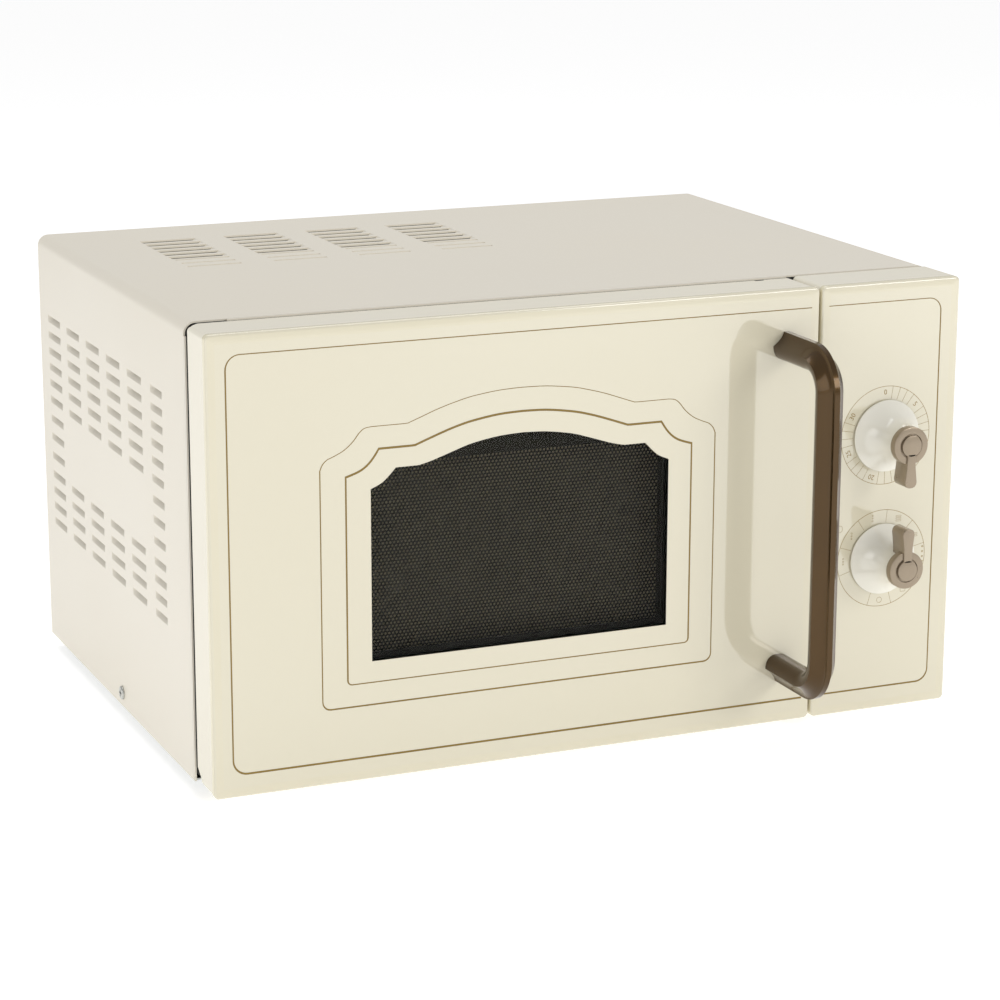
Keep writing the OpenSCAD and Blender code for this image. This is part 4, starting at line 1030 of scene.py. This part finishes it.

# The film's smoky tint is painted shade: it dims the lit cavity seen through the holes.
film = finish("shade_tint_film", "BDB49A", "ADA48C", 0.12, 0.2, drift_scale=25, grain_scale=300, relief=0.05,
              transmission_weight=0.25, ior=1.1)
dressed("door_film", "inner_film", "door", film, "clear_film", 0.1, 1)

cover_grey = finish("choke_cover_grey", "6F6D68", "625F5A", 0.42, 0.55, drift_scale=30, grain_scale=1400,
                    relief=0.35)
dressed("choke_cover", "choke_lid", "door", cover_grey, "grey_plastic")


# ---- Door: latch and hinges -----------------------------------------------------------------
# A white acetal latch arm with two hooks is pressed down by a wire spring. The door turns on two
# cranked steel brackets screwed behind the front plate.
dressed("latch_hooks", "latch_arm", "latch", acetal, "white_plastic")
spring_steel = finish("spring_wire", "9C9C98", "84857F", 0.25, 0.4, drift_scale=200, grain_scale=900,
                      metallic=1.0)
coil = tidy_copy("latch_spring", "latch_coil", 0, smooth=70)
belongs(coil, None, spring_steel, "spring_steel", "latch_spring")
low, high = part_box("latch_spring")
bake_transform(coil)
for node, name in (("upper_hinge", "upper_bracket"), ("lower_hinge", "lower_bracket")):
    belongs(tidy_copy(node, name, 0.3), "oven", galvanised, "zinc_steel", node)
dressed("hinge_screws", "bracket_screws", "oven", bright_zinc, "bright_steel", 0.25)


# ---- Door: bow handle -----------------------------------------------------------------------
# A hollow casting in lacquered antique bronze: a round belly towards the door and two fluted
# flanks that meet in a narrow crest. Two screws from inside the door hold its legs.
low, high = box_mm("door_handle")
handle_half = (high.x - low.x) / 2
handle_x = (high.x + low.x) / 2
handle_bend, handle_reach = 18, -low.y
leg_top, leg_low = high.z - handle_half, low.z + handle_half
crest = 1.6
flank = [(handle_half * t / 10, crest + (handle_half - crest) * (1 - t / 10) ** 1.7)
         for t in range(10, -1, -1)]
belly = [(-handle_half * math.sin(math.radians(9 * t)), handle_half * math.cos(math.radians(9 * t)) ** 0.7)
         for t in range(1, 10)]
section = [(handle_half, 0)] + flank + belly + [(-handle_half, 1.5)]
section = section + [(u, -v) for u, v in reversed(section[1:])]
straight = handle_reach - handle_half - handle_bend
points = [at(handle_x + v, 0, leg_top + u) for u, v in section]
bow = outline_face("bow_handle", points)
push(y=-straight)
bpy.ops.mesh.spin(steps=14, angle=math.radians(-90), center=at(handle_x, -straight, leg_top - handle_bend),
                  axis=(1, 0, 0))
push(z=-(leg_top - leg_low - 2 * handle_bend))
bpy.ops.mesh.spin(steps=14, angle=math.radians(-90), center=at(handle_x, -straight, leg_low + handle_bend),
                  axis=(1, 0, 0))
push(y=straight)
pick_all()
bpy.ops.mesh.remove_doubles(threshold=1e-6)
settle(bow, 32)
bronze = finish("antique_bronze_lacquer", "553C14", "3B290B", 0.2, 0.28, drift_scale=14, grain_scale=2600,
                grain_share=0.35, metallic=0.75, relief=0.12, coat=0.4, coat_roughness=0.05)
belongs(bow, "door", bronze, "antique_bronze", "door_handle")
dressed("handle_screws", "handle_bolts", "door", bright_zinc, "bright_steel", 0.3)


# ---- Controls behind the panel --------------------------------------------------------------
# A clockwork timer with its bell and a rotary power switch stand behind the glass. The latch
# board holds two microswitches with red plungers.
timer_case = finish("timer_case_nylon", "DAD7CC", "CBC7BB", 0.4, 0.55, drift_scale=40, grain_scale=1200,
                    relief=0.3)
dressed("timer_unit", "timer_movement", "oven", timer_case, "white_plastic", 0.6)
dressed("timer_bell", "timer_gong", "oven", bright_zinc, "bright_steel", 0.2)
dressed("power_selector", "power_switch", "oven", timer_case, "white_plastic", 0.6)
dressed("latch_board", "latch_carrier", "oven", acetal, "white_plastic")
switch_grey = finish("switch_case", "35342F", "45433D", 0.4, 0.55, drift_scale=50, grain_scale=1600,
                     relief=0.3)
dressed("interlock_switches", "door_switches", "oven", switch_grey, "grey_plastic", 0.5)
red = finish("red_plunger", "A93226", "8E2A20", 0.3, 0.42, drift_scale=80, grain_scale=1500)
dressed("switch_plungers", "red_plungers", "plungers", red, "red_plastic", 0.3)


# ---- Microwave source, power parts and fan ---------------------------------------------------
# The magnetron feeds a welded waveguide. A laminated transformer, a capacitor in its clamp and a
# diode stand on the base, and a shaded-pole motor drives the cooling fan in the back.
def striped(material, axis_index, scale, dark, low_share=0.35):
    """Adds fine bands along one axis, as on laminations, fins and windings."""
    tree = material.node_tree
    where = tree.nodes["Texture Coordinate"]
    wave = tree.nodes.new("ShaderNodeTexWave")
    wave.bands_direction = "XYZ"[axis_index]
    wave.inputs["Scale"].default_value = scale
    wave.inputs["Distortion"].default_value = 0.3
    over = tree.nodes.new("ShaderNodeMix")
    over.data_type = "RGBA"
    over.blend_type = "MULTIPLY"
    over.inputs[7].default_value = tint(dark)
    share = tree.nodes.new("ShaderNodeMapRange")
    share.inputs["To Min"].default_value = 0.0
    share.inputs["To Max"].default_value = 1 - low_share
    bsdf = tree.nodes["Principled BSDF"]
    tree.links.new(where.outputs["Object"], wave.inputs["Vector"])
    tree.links.new(wave.outputs["Fac"], share.inputs["Value"])
    tree.links.new(share.outputs["Result"], over.inputs[0])
    tree.links.new(tree.nodes["drift"].outputs["Colour"], over.inputs[6])
    tree.links.new(over.outputs[2], bsdf.inputs["Base Color"])
    tree.links.new(wave.outputs["Fac"], tree.nodes["relief"].inputs["Height"])
    return material


tin = finish("tinned_sheet", "C2C3C0", "A9ABA8", 0.28, 0.42, drift_scale=50, grain_scale=500, metallic=1.0)
dressed("waveguide", "wave_duct", "oven", tin, "zinc_steel")
fins = striped(finish("cooling_fins", "C6C7C4", "B0B1AE", 0.3, 0.45, metallic=1.0), 2, 90, "8A8B88")
dressed("magnetron", "magnetron_tube", "oven", fins, "aluminium_fins", 0.25)
core = striped(finish("laminated_core", "5A5752", "47443F", 0.45, 0.6, metallic=0.6), 1, 320, "2C2A27")
dressed("transformer_core", "laminated_core", "oven", core, "lamination")
copper = striped(finish("copper_winding", "A8602F", "8C4C22", 0.28, 0.4, metallic=0.85, coat=0.4), 2, 260,
                 "5E3218")
dressed("transformer_coils", "copper_coils", "oven", copper, "copper_winding", 0.8, 3)
can = finish("capacitor_can", "C4C5C2", "B2B3B0", 0.3, 0.42, drift_scale=30, grain_scale=700, metallic=1.0)
dressed("hv_capacitor", "capacitor_can", "oven", can, "capacitor_can", 0.8, 3)
dressed("capacitor_clamp", "can_clamp", "oven", galvanised, "zinc_steel", 0.3)
dressed("hv_diode", "diode", "oven", switch_grey, "grey_plastic", 0.3)
duct_grey = finish("duct_plastic", "A9A7A0", "9A978F", 0.42, 0.55, drift_scale=30, grain_scale=1200,
                   relief=0.3)
dressed("fan_duct", "air_duct", "oven", duct_grey, "grey_plastic", 0.5)
motor_core = striped(finish("motor_core", "66625C", "524E48", 0.45, 0.6, metallic=0.6), 1, 320, "34312D")
dressed("fan_motor", "shaded_motor", "oven", motor_core, "lamination", 0.5)
dressed("fan_blade", "fan_wheel", "fan", duct_grey, "grey_plastic", 0.3)


# ---- Small electrical parts -----------------------------------------------------------------
# Line filter on a green board, a thermal cut-out on the cavity's roof, the flat synchronous
# turntable motor below, and the lamp in its socket.
board = finish("circuit_board_green", "2F6B46", "275A3B", 0.3, 0.45, drift_scale=90, grain_scale=700,
               relief=0.3,
               coat=0.3)
dressed("filter_board", "line_filter", "oven", board, "circuit_board", 0.3)
ceramic = finish("glazed_ceramic", "E8E6E0", "DBD8D0", 0.2, 0.32, drift_scale=40, grain_scale=900, coat=0.3)
dressed("thermal_cutout", "thermal_switch", "oven", ceramic, "ceramic_white", 0.3)
dressed("turntable_motor", "tray_motor", "oven", tin, "zinc_steel", 0.5)
lamp_glass = finish("lamp_glass", "FBF6E8", "F5EFDE", 0.02, 0.06, drift_scale=60, grain_scale=400,
                    transmission_weight=0.9)
dressed("cavity_lamp", "oven_lamp", "oven", lamp_glass, "clear_glass", 0, smooth=60)
dressed("lamp_socket", "lamp_holder", "oven", ceramic, "ceramic_white")
